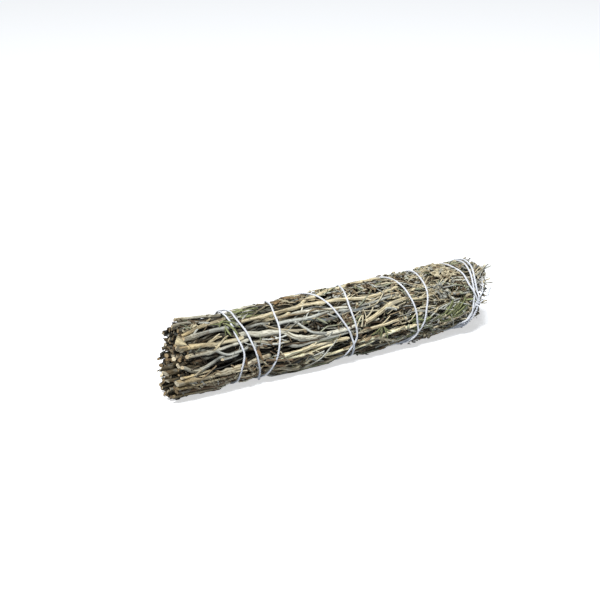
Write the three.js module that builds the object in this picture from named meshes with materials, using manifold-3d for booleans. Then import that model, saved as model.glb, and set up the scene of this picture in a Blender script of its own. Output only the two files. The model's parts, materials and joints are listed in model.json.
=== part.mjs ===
// Smudge stick: dried woody herb sprigs laid side by side with their cut ends together, and bound from
// end to end with one cotton thread that is wound down to the cut ends, back to the tips, and knotted.
// Millimetres. +X runs from the cut ends to the leafy tips, +Z is up, and the bundle lies on z = 0.

import * as THREE from 'three';
import { mergeVertices } from 'three/addons/utils/BufferGeometryUtils.js';
import Module from 'manifold-3d';

const wasm = await Module();
wasm.setup();

// The bundle.
const LENGTH = 208; // from the cut ends to where the tips thin out
const BUTT_RADIUS = 21.9;
const TIP_RADIUS = 21.0;
const BELLY = 1.0; // how much wider it is between its ends
const UNDERSIDE_PRESS = 1.5; // how far its own weight lowers its axis
const SETTLE = 0.7; // how much of the lowest stems is pressed flat on the ground
const BOW = 1.6; // sideways bend of the whole bundle, towards -Y
const AXIS_HEIGHT = (BUTT_RADIUS + TIP_RADIUS) / 2 - UNDERSIDE_PRESS;
const GAP = 0.3; // between pieces that touch

// The sprigs lie in rings round one core sprig, six more in each ring than in the one inside it.
const RINGS = [
  { name: 'core_sprig', count: 1, lay: 40, woody: 1.5, shoots: 1, sides: 5 },
  { name: 'inner_sprig', count: 6, lay: 46, woody: 1.5, shoots: 1, sides: 5 },
  { name: 'middle_sprig', count: 12, lay: -38, woody: 1.55, shoots: 1, sides: 5 },
  { name: 'outer_sprig', count: 18, lay: 26, woody: 1.7, shoots: 2, sides: 6 },
];
const OUTER_RING = RINGS.length - 1;
const CELLS_ACROSS = 2 * OUTER_RING + 1; // sprig places across the bundle
const INNER_STEPS = 10; // sections along a stem that no thread touches
const TIP_SHARE = 0.6; // a stem's thickness at its tip, as a share of that at its cut end
const CUT_SLOPE = 0.6; // steepest slant of a cut end
const SHOOT = {
  sides: 4,
  steps: 5,
  firstFork: 0.16, // where the forks lie, as shares of the length
  lastFork: 0.58,
  reach: [0.24, 0.36], // how long a shoot is, as a share of the length
  radius: [0.62, 0.85],
  side: [100, 125], // degrees round the stem from the way that it leans
};
const NEEDLE = { sides: 3, length: [8, 11], root: 0.3, middle: 0.5, tip: 0.16, fromTip: 22, apart: 5 };
const CUT_SCATTER = 4; // how unevenly the cut ends line up
const TIP_SCATTER = 9; // how unevenly the tips end

// The thread and how it presses into the bundle.
const THREAD_DIAMETER = 1.3;
const THREAD_STEP = 5.2; // between the sections along it
const THREAD_SIDES = 5;
const ROUTE_STEP = 9; // degrees between the points that the thread is drawn through
const PINCH = 1.0; // depth of the waist under a turn
const PINCH_UNDER = 2.7; // the same underneath, where the thread must clear the ground
const PINCH_SPREAD = 5.5; // half length of that waist along the bundle
const CLOSE_TURNS = 5; // turns nearer than this share one waist
const CROSSING_REACH = 3.2; // how close two turns lie before one climbs over the other
const CLIMB = THREAD_DIAMETER + 0.25; // how high it climbs
const THREAD_GAP = GAP + 0.1; // over the stems that it presses on

// The thread's route by hand: the angle turned since the top, in degrees, and how far along it lies.
// It starts at the knot, winds down to the cut ends, once round there, and back to the knot.
const WINDING = [
  [81, 193], [112, 187], [151, 182], [245, 190], [335, 196.5],
  [391, 194.2], [418, 192], [448, 189.4], [468, 187.5], [484, 180.5], [511, 175], [605, 167],
  [695, 160], [722, 160], [763, 159], [791, 156], [833, 149], [871, 133], [965, 120],
  [1055, 110.5], [1117, 105], [1159, 105.5], [1181, 104], [1231, 95], [1325, 78],
  [1415, 62], [1443, 59], [1492, 57], [1537, 52.5], [1587, 46], [1685, 38],
  [1775, 31.5], [1837, 30], [1877, 32.5], [1906, 30.5], [1951, 29.5], [2045, 31],
  [2135, 34.5], [2184, 35], [2208, 37.5], [2259, 41.2], [2307, 46.2], [2405, 66],
  [2495, 84], [2549, 92.5], [2606, 101.5], [2645, 105], [2671, 107], [2765, 121],
  [2855, 135], [2882, 142], [2929, 146], [2967, 148], [2992, 149], [3031, 139], [3125, 163],
  [3215, 183.5], [3245, 186], [3270, 188.8], [3296, 190], [3321, 193],
];
// The last turn, from the knot once more round the tips and back to it.
const LAST_TURN = [
  [3321, 193], [3343, 191], [3354, 188], [3391, 184.5], [3485, 189],
  [3575, 198.6], [3602, 197.9], [3629, 195.8], [3654, 194.2], [3681, 193],
];
const KNOT = { angle: 81, along: 193, radius: 1.7, lift: 0.7 };
// The thread's two ends beyond the knot: where each one stops, and how far it stands off the sprigs.
const TAILS = [
  { angle: 50, along: 199, lift: 1.6 },
  { angle: 66, along: 202, lift: 2.2 },
];

// A repeatable random source.
function randomFrom(seed) {
  let state = seed;
  return function next(low = 0, high = 1) {
    state = (state * 1664525 + 1013904223) % 4294967296;
    return low + (high - low) * (state / 4294967296);
  };
}

const radians = THREE.MathUtils.degToRad;

function lerpAlong(x, atButt, atTip) {
  return THREE.MathUtils.lerp(atButt, atTip, THREE.MathUtils.clamp(x / LENGTH, 0, 1));
}

// A smooth arch over the bundle's length, from 0 at both ends to 1 half way.
function archAlong(x) {
  return Math.sin(Math.PI * THREE.MathUtils.clamp(x / LENGTH, 0, 1));
}

// How squarely an angle round the bundle faces the ground, from 0 at the sides to 1 underneath.
function facingDown(angle) {
  return Math.max(0, -Math.cos(radians(angle)));
}

function pinchDepth(angle) {
  return THREE.MathUtils.lerp(PINCH, PINCH_UNDER, THREE.MathUtils.smoothstep(facingDown(angle), 0.5, 0.95));
}

// The bundle's radius where no thread presses: round, and flat where it meets the ground.
function freeRadius(x, angle) {
  const round = lerpAlong(x, BUTT_RADIUS, TIP_RADIUS) + BELLY * archAlong(x);
  const down = facingDown(angle);
  return down > 0 ? Math.min(round, (AXIS_HEIGHT + SETTLE) / down) : round;
}

// A point of the bundle, by its distance along, its angle from the top towards -Y, and its radius.
function bundlePoint(x, angle, radius) {
  return new THREE.Vector3(
    x,
    -BOW * archAlong(x) - radius * Math.sin(radians(angle)),
    AXIS_HEIGHT + radius * Math.cos(radians(angle)),
  );
}

function outwardAt(angle) {
  return new THREE.Vector3(0, -Math.sin(radians(angle)), Math.cos(radians(angle)));
}

// A route as a smooth function from the angle turned to the place along the bundle.
function smoothRoute(stops) {
  const angles = Float32Array.from(stops, (stop) => stop[0]);
  const places = Float32Array.from(stops, (stop) => stop[1]);
  const curve = new THREE.CubicInterpolant(angles, places, 1);
  return {
    from: stops[0][0],
    to: stops[stops.length - 1][0],
    along: (angle) => curve.evaluate(angle)[0],
  };
}

const winding = smoothRoute(WINDING);
const lastTurn = smoothRoute(LAST_TURN);

function threadAlong(turned) {
  const inRange = THREE.MathUtils.clamp(turned, winding.from, lastTurn.to);
  return (inRange <= winding.to ? winding : lastTurn).along(inRange);
}

// Every pass of the thread over one angle of the bundle, in the order it was wound.
function passesAt(angle) {
  const passes = [];
  for (let turned = THREE.MathUtils.euclideanModulo(angle, 360); turned <= lastTurn.to; turned += 360) {
    if (turned >= winding.from) passes.push({ turned, along: threadAlong(turned) });
  }
  return passes;
}

// The bundle's outline with its waists: passes of the thread draw it in.
function boundRadius(x, angle) {
  let press = 0;
  for (const pass of passesAt(angle)) {
    press += Math.exp(-(((x - pass.along) / PINCH_SPREAD) ** 2));
  }
  return freeRadius(x, angle) - pinchDepth(angle) * Math.min(1, press);
}

// Half the width of the place that one sprig has.
function cellRadius(x, angle) {
  return (freeRadius(x, angle) - pinchDepth(angle)) / CELLS_ACROSS;
}

// The middle of a sprig's place. Only the outer ring follows the waists.
function cellCentre(ring, x, angle) {
  const cell = cellRadius(x, angle);
  const radius = ring === OUTER_RING ? boundRadius(x, angle) - cell : 2 * cell * ring;
  return bundlePoint(x, angle, radius);
}

// A closed stem along a list of stations: a cylinder whose rings are moved to their places.
// Each station has a point, an outward direction and a radius.
function stemGeometry(stations, sides, cutSlope = 0) {
  const steps = stations.length - 1;
  const geometry = new THREE.CylinderGeometry(1, 1, 1, sides, steps);
  const position = geometry.attributes.position;
  const vertex = new THREE.Vector3();
  const along = new THREE.Vector3();
  const across = new THREE.Vector3();
  const outward = new THREE.Vector3();
  for (let i = 0; i < position.count; i += 1) {
    vertex.fromBufferAttribute(position, i);
    const index = Math.round((vertex.y + 0.5) * steps);
    const station = stations[index];
    const before = stations[Math.max(0, index - 1)].point;
    const after = stations[Math.min(steps, index + 1)].point;
    along.subVectors(after, before).normalize();
    outward.copy(station.outward).addScaledVector(along, -station.outward.dot(along)).normalize();
    across.crossVectors(outward, along);
    const slope = index === 0 ? cutSlope * vertex.x * station.radius : 0;
    const moved = station.point.clone();
    moved.addScaledVector(outward, vertex.x * station.radius);
    moved.addScaledVector(across, vertex.z * station.radius);
    moved.addScaledVector(along, slope);
    moved.z = Math.max(0, moved.z);
    position.setXYZ(i, moved.x, moved.y, moved.z);
  }
  return geometry;
}

function toSolid(geometry) {
  const bare = geometry.index ? geometry.toNonIndexed() : geometry.clone();
  bare.deleteAttribute('normal');
  bare.deleteAttribute('uv');
  const merged = mergeVertices(bare, 1e-4);
  return new wasm.Manifold(new wasm.Mesh({
    numProp: 3,
    vertProperties: Float32Array.from(merged.attributes.position.array),
    triVerts: Uint32Array.from(merged.index.array),
  }));
}

function toGeometry(solid) {
  const mesh = solid.getMesh();
  const geometry = new THREE.BufferGeometry();
  geometry.setAttribute('position', new THREE.Float32BufferAttribute(mesh.vertProperties, 3));
  geometry.setIndex(new THREE.Uint32BufferAttribute(mesh.triVerts, 1));
  const flat = geometry.toNonIndexed();
  flat.computeVertexNormals();
  return flat;
}

// Joins closed geometries into one body, and places it by its own reference point.
function joinedMesh(name, geometries, origin, material) {
  const solid = geometries.map(toSolid).reduce((whole, next) => whole.add(next));
  const geometry = toGeometry(solid);
  geometry.translate(-origin.x, -origin.y, -origin.z);
  const mesh = new THREE.Mesh(geometry, material);
  mesh.name = name;
  mesh.position.copy(origin);
  return mesh;
}

// Where the thread passes over a stem whose angle changes along the bundle.
function turnsOver(angleAt) {
  const middleAngle = angleAt(LENGTH / 2);
  const places = passesAt(middleAngle).map(({ turned, along }) => {
    const closer = threadAlong(turned + angleAt(along) - middleAngle);
    return threadAlong(turned + angleAt(closer) - middleAngle);
  });
  return places.sort((a, b) => a - b).filter((along, i, all) => i === 0 || along - all[i - 1] > CLOSE_TURNS);
}

// Sections along an outer stem: one at each turn of thread, and more between turns, where it bulges back out.
function outerStops(start, end, angleAt) {
  const stops = [start];
  const edges = [start, ...turnsOver(angleAt), end];
  for (let i = 1; i < edges.length; i += 1) {
    const span = edges[i] - edges[i - 1];
    if (span > 17) stops.push(edges[i - 1] + span * 0.36, edges[i - 1] + span * 0.64);
    else if (span > 10) stops.push(edges[i - 1] + span * 0.5);
    stops.push(edges[i]);
  }
  return stops;
}

function innerStops(start, end) {
  return Array.from({ length: INNER_STEPS + 1 }, (_, i) => THREE.MathUtils.lerp(start, end, i / INNER_STEPS));
}

const SPRIG_COLOURS = [0xb39a6c, 0x8f8a7c, 0x9c8259, 0x7b7a66, 0xa89673, 0x6f6a5c];

// One sprig: a woody stem in its place in the bundle, side shoots that fork from it, and needle leaves.
function makeSprig(ring, index) {
  const { name, count, lay, woody, shoots, sides } = RINGS[ring];
  const outer = ring === OUTER_RING;
  const random = randomFrom(1000 * ring + 37 * index + 11);
  const start = random(-CUT_SCATTER, CUT_SCATTER);
  const end = LENGTH + random(-TIP_SCATTER, TIP_SCATTER * 0.4);
  const firstAngle = (360 / count) * (index + 0.5 * (ring % 2));
  const angleAt = (x) => firstAngle + lay * (x / LENGTH - 0.5);

  const thickness = woody * random(0.82, 1.04);
  const stemRadius = (x) => lerpAlong(x, thickness, thickness * TIP_SHARE);
  const swayStart = random(0, 360);
  const swayLength = random(70, 120);

  // The direction, inside the sprig's place, in which the stem leans. Outer stems lean outwards.
  const leanAt = (x) => {
    const sway = Math.sin((2 * Math.PI * x) / swayLength + radians(swayStart));
    return outer ? 24 * sway : swayStart + 60 * sway;
  };

  // A section that leans as far as its place in the bundle lets it.
  const sectionAt = (x, lean, radius) => {
    const angle = angleAt(x);
    const room = cellRadius(x, angle) - GAP / 2 - radius;
    const point = cellCentre(ring, x, angle).addScaledVector(outwardAt(angle + lean), room);
    return { point, outward: outwardAt(angle), radius };
  };

  // A side shoot leaves the stem and settles beside it.
  const shootAt = (forkAt, reach, side, radius) => {
    const sections = [];
    for (let i = 0; i <= SHOOT.steps; i += 1) {
      const t = i / SHOOT.steps;
      const x = forkAt + reach * t;
      const inStem = sectionAt(x, leanAt(x), stemRadius(x)).point;
      const beside = sectionAt(x, leanAt(x) + side, radius * (1 - 0.45 * t));
      beside.point.lerpVectors(inStem, beside.point, THREE.MathUtils.smoothstep(t, 0, 0.28));
      sections.push(beside);
    }
    return stemGeometry(sections, SHOOT.sides);
  };

  // A needle leaf turns away from what it grows on.
  const needleAt = (x, lean, turn) => {
    const length = random(...NEEDLE.length);
    return stemGeometry([
      sectionAt(x, lean, NEEDLE.root),
      sectionAt(x + length / 2, lean + turn * 0.6, NEEDLE.middle),
      sectionAt(x + length, lean + turn, NEEDLE.tip),
    ], NEEDLE.sides);
  };

  const stops = outer ? outerStops(start, end, angleAt) : innerStops(start, end);
  const stem = stops.map((x) => sectionAt(x, leanAt(x), stemRadius(x)));
  const pieces = [stemGeometry(stem, sides, random(-CUT_SLOPE, CUT_SLOPE))];
  for (let i = 0; i < shoots; i += 1) {
    const share = THREE.MathUtils.lerp(SHOOT.firstFork, SHOOT.lastFork, (i + random(0, 0.5)) / shoots);
    const forkAt = LENGTH * share;
    const reach = LENGTH * random(...SHOOT.reach);
    const side = (i % 2 === 0 ? 1 : -1) * random(...SHOOT.side);
    pieces.push(shootAt(forkAt, reach, side, random(...SHOOT.radius)));
    if (outer) {
      const leafAt = forkAt + reach - 3;
      pieces.push(needleAt(leafAt, leanAt(leafAt) + side, random(-50, 50)));
    }
  }
  const tipNeedles = outer ? 2 : 1;
  for (let i = 0; i < tipNeedles; i += 1) {
    const x = end - NEEDLE.fromTip + NEEDLE.apart * i;
    pieces.push(needleAt(x, leanAt(x), (i % 2 === 0 ? 1 : -1) * random(70, 150)));
  }

  const material = new THREE.MeshStandardMaterial({
    color: SPRIG_COLOURS[(index * 5 + ring) % SPRIG_COLOURS.length],
    roughness: 0.9,
    metalness: 0,
  });
  const label = count === 1 ? name : `${name}_${String(index + 1).padStart(2, '0')}`;
  return joinedMesh(label, pieces, stem[0].point, material);
}

// How far a pass of the thread is lifted by the earlier turns that it crosses.
function liftAt(turned, along) {
  let lift = 0;
  for (const pass of passesAt(turned)) {
    if (pass.turned > turned - 180) break;
    const apart = Math.abs(pass.along - along);
    if (apart < CROSSING_REACH) {
      const climb = 1 - THREE.MathUtils.smoothstep(apart, THREAD_DIAMETER, CROSSING_REACH);
      lift = Math.max(lift, climb * (CLIMB + liftAt(pass.turned, pass.along)));
    }
  }
  return lift;
}

function threadPoint(turned, along, extra) {
  const radius = boundRadius(along, turned) + THREAD_GAP + THREAD_DIAMETER / 2 + extra;
  const point = bundlePoint(along, turned, radius);
  point.z = Math.max(point.z, THREAD_DIAMETER / 2 + 0.1);
  return point;
}

function threadTube(points) {
  const curve = new THREE.CatmullRomCurve3(points);
  curve.arcLengthDivisions = points.length * 8;
  const section = new THREE.Shape();
  for (let i = 0; i < THREAD_SIDES; i += 1) {
    const angle = (2 * i * Math.PI) / THREAD_SIDES;
    const corner = [Math.cos(angle) * THREAD_DIAMETER / 2, Math.sin(angle) * THREAD_DIAMETER / 2];
    if (i === 0) section.moveTo(...corner);
    else section.lineTo(...corner);
  }
  section.closePath();
  return new THREE.ExtrudeGeometry(section, {
    steps: Math.round(curve.getLength() / THREAD_STEP),
    extrudePath: curve,
    bevelEnabled: false,
  });
}

function routePoints(route) {
  const steps = Math.round((route.to - route.from) / ROUTE_STEP);
  return Array.from({ length: steps + 1 }, (_, i) => {
    const turned = THREE.MathUtils.lerp(route.from, route.to, i / steps);
    const along = route.along(turned);
    return threadPoint(turned, along, liftAt(turned, along));
  });
}

// The whole binding: both runs of the winding, the knot that joins them, and the two cut ends.
function makeThread() {
  const knotCentre = threadPoint(KNOT.angle, KNOT.along, KNOT.lift);
  const knot = new THREE.SphereGeometry(KNOT.radius, 9, 6);
  knot.translate(knotCentre.x, knotCentre.y, knotCentre.z);
  const pieces = [threadTube(routePoints(winding)), threadTube(routePoints(lastTurn)), knot];
  for (const tail of TAILS) {
    const points = [0, 0.35, 0.7, 1].map((t) => {
      const angle = THREE.MathUtils.lerp(KNOT.angle, tail.angle, t);
      const along = THREE.MathUtils.lerp(KNOT.along, tail.along, t);
      return threadPoint(angle, along, THREE.MathUtils.lerp(KNOT.lift, tail.lift, t));
    });
    pieces.push(threadTube(points));
  }
  const cotton = new THREE.MeshStandardMaterial({ color: 0xe6e8ec, roughness: 0.95, metalness: 0 });
  return joinedMesh('binding_thread', pieces, knotCentre, cotton);
}

const bundle = new THREE.Group();
bundle.name = 'smudge_stick';
RINGS.forEach(({ count }, ring) => {
  for (let index = 0; index < count; index += 1) bundle.add(makeSprig(ring, index));
});
bundle.add(makeThread());

// The origin is under the middle of the bundle, on the ground.
bundle.updateMatrixWorld(true);
const extent = new THREE.Box3().setFromObject(bundle, true);
const middle = extent.getCenter(new THREE.Vector3());
bundle.position.set(-middle.x, -middle.y, -extent.min.z);
bundle.updateMatrixWorld(true);

export default bundle;
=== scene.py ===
import json
import math

import bpy
import numpy as np
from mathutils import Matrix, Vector


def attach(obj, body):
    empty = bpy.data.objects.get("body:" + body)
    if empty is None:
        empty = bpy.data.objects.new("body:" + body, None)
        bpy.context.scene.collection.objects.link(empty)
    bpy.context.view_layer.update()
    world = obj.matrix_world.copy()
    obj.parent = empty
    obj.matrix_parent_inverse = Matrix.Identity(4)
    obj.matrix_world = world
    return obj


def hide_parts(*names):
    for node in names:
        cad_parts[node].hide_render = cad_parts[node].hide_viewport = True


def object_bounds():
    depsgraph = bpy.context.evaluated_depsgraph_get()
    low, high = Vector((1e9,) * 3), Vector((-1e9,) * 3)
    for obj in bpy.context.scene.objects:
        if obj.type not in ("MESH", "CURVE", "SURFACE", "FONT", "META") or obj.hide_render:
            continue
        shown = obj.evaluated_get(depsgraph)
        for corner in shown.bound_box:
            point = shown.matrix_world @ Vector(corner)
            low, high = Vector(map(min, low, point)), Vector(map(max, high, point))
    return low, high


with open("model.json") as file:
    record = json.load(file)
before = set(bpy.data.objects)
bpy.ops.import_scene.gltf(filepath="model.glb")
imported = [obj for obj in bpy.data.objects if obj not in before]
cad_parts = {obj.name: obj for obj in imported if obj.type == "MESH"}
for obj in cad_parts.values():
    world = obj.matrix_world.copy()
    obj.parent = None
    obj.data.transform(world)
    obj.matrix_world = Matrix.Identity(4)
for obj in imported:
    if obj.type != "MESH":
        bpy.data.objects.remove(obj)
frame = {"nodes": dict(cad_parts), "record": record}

CAD_LOW, CAD_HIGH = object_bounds()


# --------------------------------------------------------------------------------------------------
# Camera. A long lens a little under a metre away, on the side of the knot, so that the cut ends
# come forward and the leafy tips go back. It looks down on the bundle, which lies across the table.
# --------------------------------------------------------------------------------------------------
MM = 0.001
STICK_MIDDLE = Vector((0.5 * MM, 1.6 * MM, 21.5 * MM))
CAMERA_TURN = math.radians(-29.9)      # from square on to the bundle, towards its cut ends
CAMERA_RISE = math.radians(24.0)
CAMERA_ROLL = math.radians(-0.45)
CAMERA_DISTANCE = 0.853
LENS_MM = 85.2
ASIDE, ABOVE = 20.8 * MM, 12.0 * MM    # how far the view's centre lies from the middle of the bundle


def placed(name, data):
    """A new object in the scene."""
    made = bpy.data.objects.new(name, data)
    bpy.context.scene.collection.objects.link(made)
    return made


def point(made, place, target):
    """Puts a camera or lamp in its place, where it faces the target."""
    made.location = place
    made.rotation_euler = (target - made.location).to_track_quat("-Z", "Y").to_euler()


away = Vector((math.sin(CAMERA_TURN) * math.cos(CAMERA_RISE),
               -math.cos(CAMERA_TURN) * math.cos(CAMERA_RISE),
               math.sin(CAMERA_RISE)))
right = Vector((math.cos(CAMERA_TURN), math.sin(CAMERA_TURN), 0.0))
camera_data = bpy.data.cameras.new("camera")
camera_data.lens = LENS_MM
camera_data.sensor_width = 36.0
camera = placed("camera", camera_data)
point(camera, STICK_MIDDLE + away * CAMERA_DISTANCE,
      STICK_MIDDLE - right * ASIDE + away.cross(right) * ABOVE)
camera.rotation_euler.rotate_axis("Z", CAMERA_ROLL)
bpy.context.scene.camera = camera


# --------------------------------------------------------------------------------------------------
# Table and light. A plain white sweep under one large soft lamp, which stands high in front and to
# the left, with the room's even light in the shadows. The sweep keeps the shadow of the bundle.
# --------------------------------------------------------------------------------------------------
class Wire:
    """One value in a node tree. Arithmetic on wires adds the Math nodes that work it out."""

    def __init__(self, recipe, socket):
        self.recipe = recipe
        self.socket = socket

    def __add__(self, other):
        return self.recipe.math("ADD", self, other)

    def __sub__(self, other):
        return self.recipe.math("SUBTRACT", self, other)

    def __mul__(self, other):
        return self.recipe.math("MULTIPLY", self, other)

    def __truediv__(self, other):
        return self.recipe.math("DIVIDE", self, other)

    def __rsub__(self, other):
        return self.recipe.math("SUBTRACT", other, self)

    __radd__ = __add__
    __rmul__ = __mul__


class Recipe:
    """The nodes of a material or of the room, added one by one."""

    def __init__(self, made):
        self.made = made
        made.use_nodes = True
        self.tree = made.node_tree
        self.tree.nodes.clear()

    def add(self, kind, settings=None, inputs=None, output=0):
        """Adds a node, with its settings first and then the values or links of its sockets."""
        node = self.tree.nodes.new(kind)
        for key, value in (settings or {}).items():
            if key == "stops":
                self._set_stops(node.color_ramp, value)
            else:
                setattr(node, key, value)
        for key, value in (inputs or {}).items():
            for one in value if isinstance(value, list) else [value]:
                self._fill(node.inputs[key], one)
        return Wire(self, node.outputs[output])

    def _fill(self, socket, value):
        if isinstance(value, Wire):
            self.tree.links.new(value.socket, socket)
        else:
            socket.default_value = (*value, 1.0) if socket.type == "RGBA" else value

    @staticmethod
    def _set_stops(ramp, stops):
        while len(ramp.elements) < len(stops):
            ramp.elements.new(1.0)
        for element, (place, colour) in zip(ramp.elements, stops):
            element.position = place
            element.color = (*colour, 1.0)

    def math(self, operation, *values):
        return self.add("ShaderNodeMath", {"operation": operation}, dict(enumerate(values)))

    def stretch(self, vector, scale):
        return self.add("ShaderNodeVectorMath", {"operation": "MULTIPLY"}, {0: vector, 1: scale})

    def step(self, value, low, high):
        """0 at low, 1 at high, and smooth between."""
        settings = {"interpolation_type": "SMOOTHSTEP"}
        inputs = {"Value": value, "From Min": low, "From Max": high}
        return self.add("ShaderNodeMapRange", settings, inputs)

    def mix(self, share, first, second, blend="MIX"):
        settings = {"data_type": "RGBA", "blend_type": blend, "clamp_result": True}
        return self.add("ShaderNodeMix", settings, {0: share, 6: first, 7: second}, output=2)

    def stain(self, base, pattern, low, high, share, *colour):
        """Mixes a share of another colour into the base, as a pattern goes from low to high."""
        return self.mix(self.step(pattern, low, high) * share, base, paint(*colour))

    def attribute(self, name, output="Vector"):
        return self.add("ShaderNodeAttribute", {"attribute_name": name}, output=output)

    def noise(self, vector, scale, detail=3.0, roughness=0.6):
        inputs = {"Vector": vector, "Scale": scale, "Detail": detail, "Roughness": roughness}
        return self.add("ShaderNodeTexNoise", None, inputs)

    def bump(self, height, depth, strength):
        inputs = {"Height": height, "Distance": depth, "Strength": strength}
        return self.add("ShaderNodeBump", None, inputs)

    def seen_or_mirrored(self):
        """1 for what the camera sees, straight, mirrored or through glass, and 0 for light."""
        kinds = ("Is Camera Ray", "Is Glossy Ray", "Is Transmission Ray")
        straight, mirrored, clear = (self.add("ShaderNodeLightPath", output=kind) for kind in kinds)
        return straight + mirrored + clear

    def finish(self, shader, output="ShaderNodeOutputMaterial"):
        self.tree.links.new(shader.socket, self.tree.nodes.new(output).inputs["Surface"])
        return self.made


def paint(red, green, blue):
    """A colour as it looks on screen, turned into the scene's own linear values."""
    return tuple(((c + 0.055) / 1.055) ** 2.4 for c in (red, green, blue))


TABLE_REACH = 4.0
SWEEP_GLOW = 0.6                       # the sweep's own light, which only the camera sees
FILL_LIGHT = 0.11
WHITE = (1.0, 1.0, 1.0)

sweep = Recipe(bpy.data.materials.new("sweep_white"))
board = sweep.add("ShaderNodeBsdfDiffuse", None, {"Color": (0.50, 0.53, 0.58)})
seen_board = sweep.add("ShaderNodeBsdfDiffuse", None, {"Color": (0.72, 0.75, 0.80)})
glow = sweep.add("ShaderNodeEmission", None, {"Color": WHITE, "Strength": SWEEP_GLOW})
lit_board = sweep.add("ShaderNodeAddShader", None, {0: seen_board, 1: glow})
sweep_white = sweep.finish(sweep.add("ShaderNodeMixShader", None, {
    0: sweep.seen_or_mirrored(), 1: board, 2: lit_board}))

table_mesh = bpy.data.meshes.new("table")
corners = [(x * TABLE_REACH, y * TABLE_REACH, 0) for x, y in ((-1, -1), (1, -1), (1, 1), (-1, 1))]
table_mesh.from_pydata(corners, [], [(0, 1, 2, 3)])
table_mesh.materials.append(sweep_white)
table = placed("table", table_mesh)

room = Recipe(bpy.data.worlds.new("room"))
fill = room.add("ShaderNodeBackground", None, {"Color": (0.80, 0.90, 1.0), "Strength": FILL_LIGHT})
backdrop = room.add("ShaderNodeBackground", None, {"Color": WHITE, "Strength": 1.0})
bpy.context.scene.world = room.finish(
    room.add("ShaderNodeMixShader", None, {0: room.seen_or_mirrored(), 1: fill, 2: backdrop}),
    "ShaderNodeOutputWorld")

LAMP_PLACE = (-0.42, -0.58, 1.38)
lamp_data = bpy.data.lights.new("overhead_lamp", "AREA")
lamp_data.shape = "SQUARE"
lamp_data.size = 0.32
lamp_data.energy = 31.0
lamp_data.color = (1.0, 0.995, 0.975)
point(placed("overhead_lamp", lamp_data), LAMP_PLACE, STICK_MIDDLE)
bpy.context.scene.view_settings.view_transform = "Standard"


# --------------------------------------------------------------------------------------------------
# Sprigs: how they lie. Dried woody herb stems fill a round bundle that the thread draws in at each
# turn, and that has settled flat on the table. Sizes are the solid part's, in millimetres; places are
# along the bundle from the cut ends, and in degrees round it from the top towards the knot's side.
# --------------------------------------------------------------------------------------------------
LENGTH = 208.0
BUTT_RADIUS, TIP_RADIUS = 21.9, 21.0
BELLY = 1.0                            # how much thicker it is half way
SETTLE = 0.7                           # how far below its round outline the table cuts it
BOW = 1.6                              # how far its middle is bent aside
AXIS_HEIGHT = (BUTT_RADIUS + TIP_RADIUS) / 2 - 1.5
BUTT_X = CAD_LOW.x / MM + 4.308        # the longest cut end sticks out this far
AXIS_Y = CAD_HIGH.y / MM - 23.048      # and the thread reaches this far behind the axis
THREAD_DIAMETER = 1.3
PINCH, PINCH_UNDER = 1.0, 2.7          # how deep the thread draws it in, round it and underneath
PINCH_SPREAD = 5.5

# Degrees turned and millimetres along, as the thread is wound from the knot and back to it.
WINDING = [
    (81, 193), (112, 187), (151, 182), (245, 190), (335, 196.5),
    (391, 194.2), (418, 192), (448, 189.4), (468, 187.5), (484, 180.5), (511, 175), (605, 167),
    (695, 160), (722, 160), (763, 159), (791, 156), (833, 149), (871, 133), (965, 120),
    (1055, 110.5), (1117, 105), (1159, 105.5), (1181, 104), (1231, 95), (1325, 78),
    (1415, 62), (1443, 59), (1492, 57), (1537, 52.5), (1587, 46), (1685, 38),
    (1775, 31.5), (1837, 30), (1877, 32.5), (1906, 30.5), (1951, 29.5), (2045, 31),
    (2135, 34.5), (2184, 35), (2208, 37.5), (2259, 41.2), (2307, 46.2), (2405, 66),
    (2495, 84), (2549, 92.5), (2606, 101.5), (2645, 105), (2671, 107), (2765, 121),
    (2855, 135), (2882, 142), (2929, 146), (2967, 148), (2992, 149), (3031, 139), (3125, 163),
    (3215, 183.5), (3245, 186), (3270, 188.8), (3296, 190), (3321, 193),
]
LAST_TURN = [
    (3321, 193), (3343, 191), (3354, 188), (3391, 184.5), (3485, 189),
    (3575, 198.6), (3602, 197.9), (3629, 195.8), (3654, 194.2), (3681, 193),
]


def through(stops, at):
    """A smooth curve through (place, value) stops."""
    places, values = np.array(stops, float).T
    slopes = np.gradient(values, places)
    slopes[1:-1] = (values[2:] - values[:-2]) / (places[2:] - places[:-2])
    at = np.clip(at, places[0], places[-1])
    i = np.clip(np.searchsorted(places, at) - 1, 0, len(places) - 2)
    span = places[i + 1] - places[i]
    t = (at - places[i]) / span
    return (values[i] * (2 * t**3 - 3 * t**2 + 1) + values[i + 1] * (3 * t**2 - 2 * t**3)
            + span * slopes[i] * (t**3 - 2 * t**2 + t) + span * slopes[i + 1] * (t**3 - t**2))


def ease(value, low, high):
    """0 up to low, 1 from high on, and smooth between."""
    t = np.clip((value - low) / (high - low), 0.0, 1.0)
    return t * t * (3 - 2 * t)


def thread_along(turned):
    """Where the thread is along the bundle, at degrees turned."""
    return np.where(turned <= WINDING[-1][0], through(WINDING, turned), through(LAST_TURN, turned))


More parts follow.
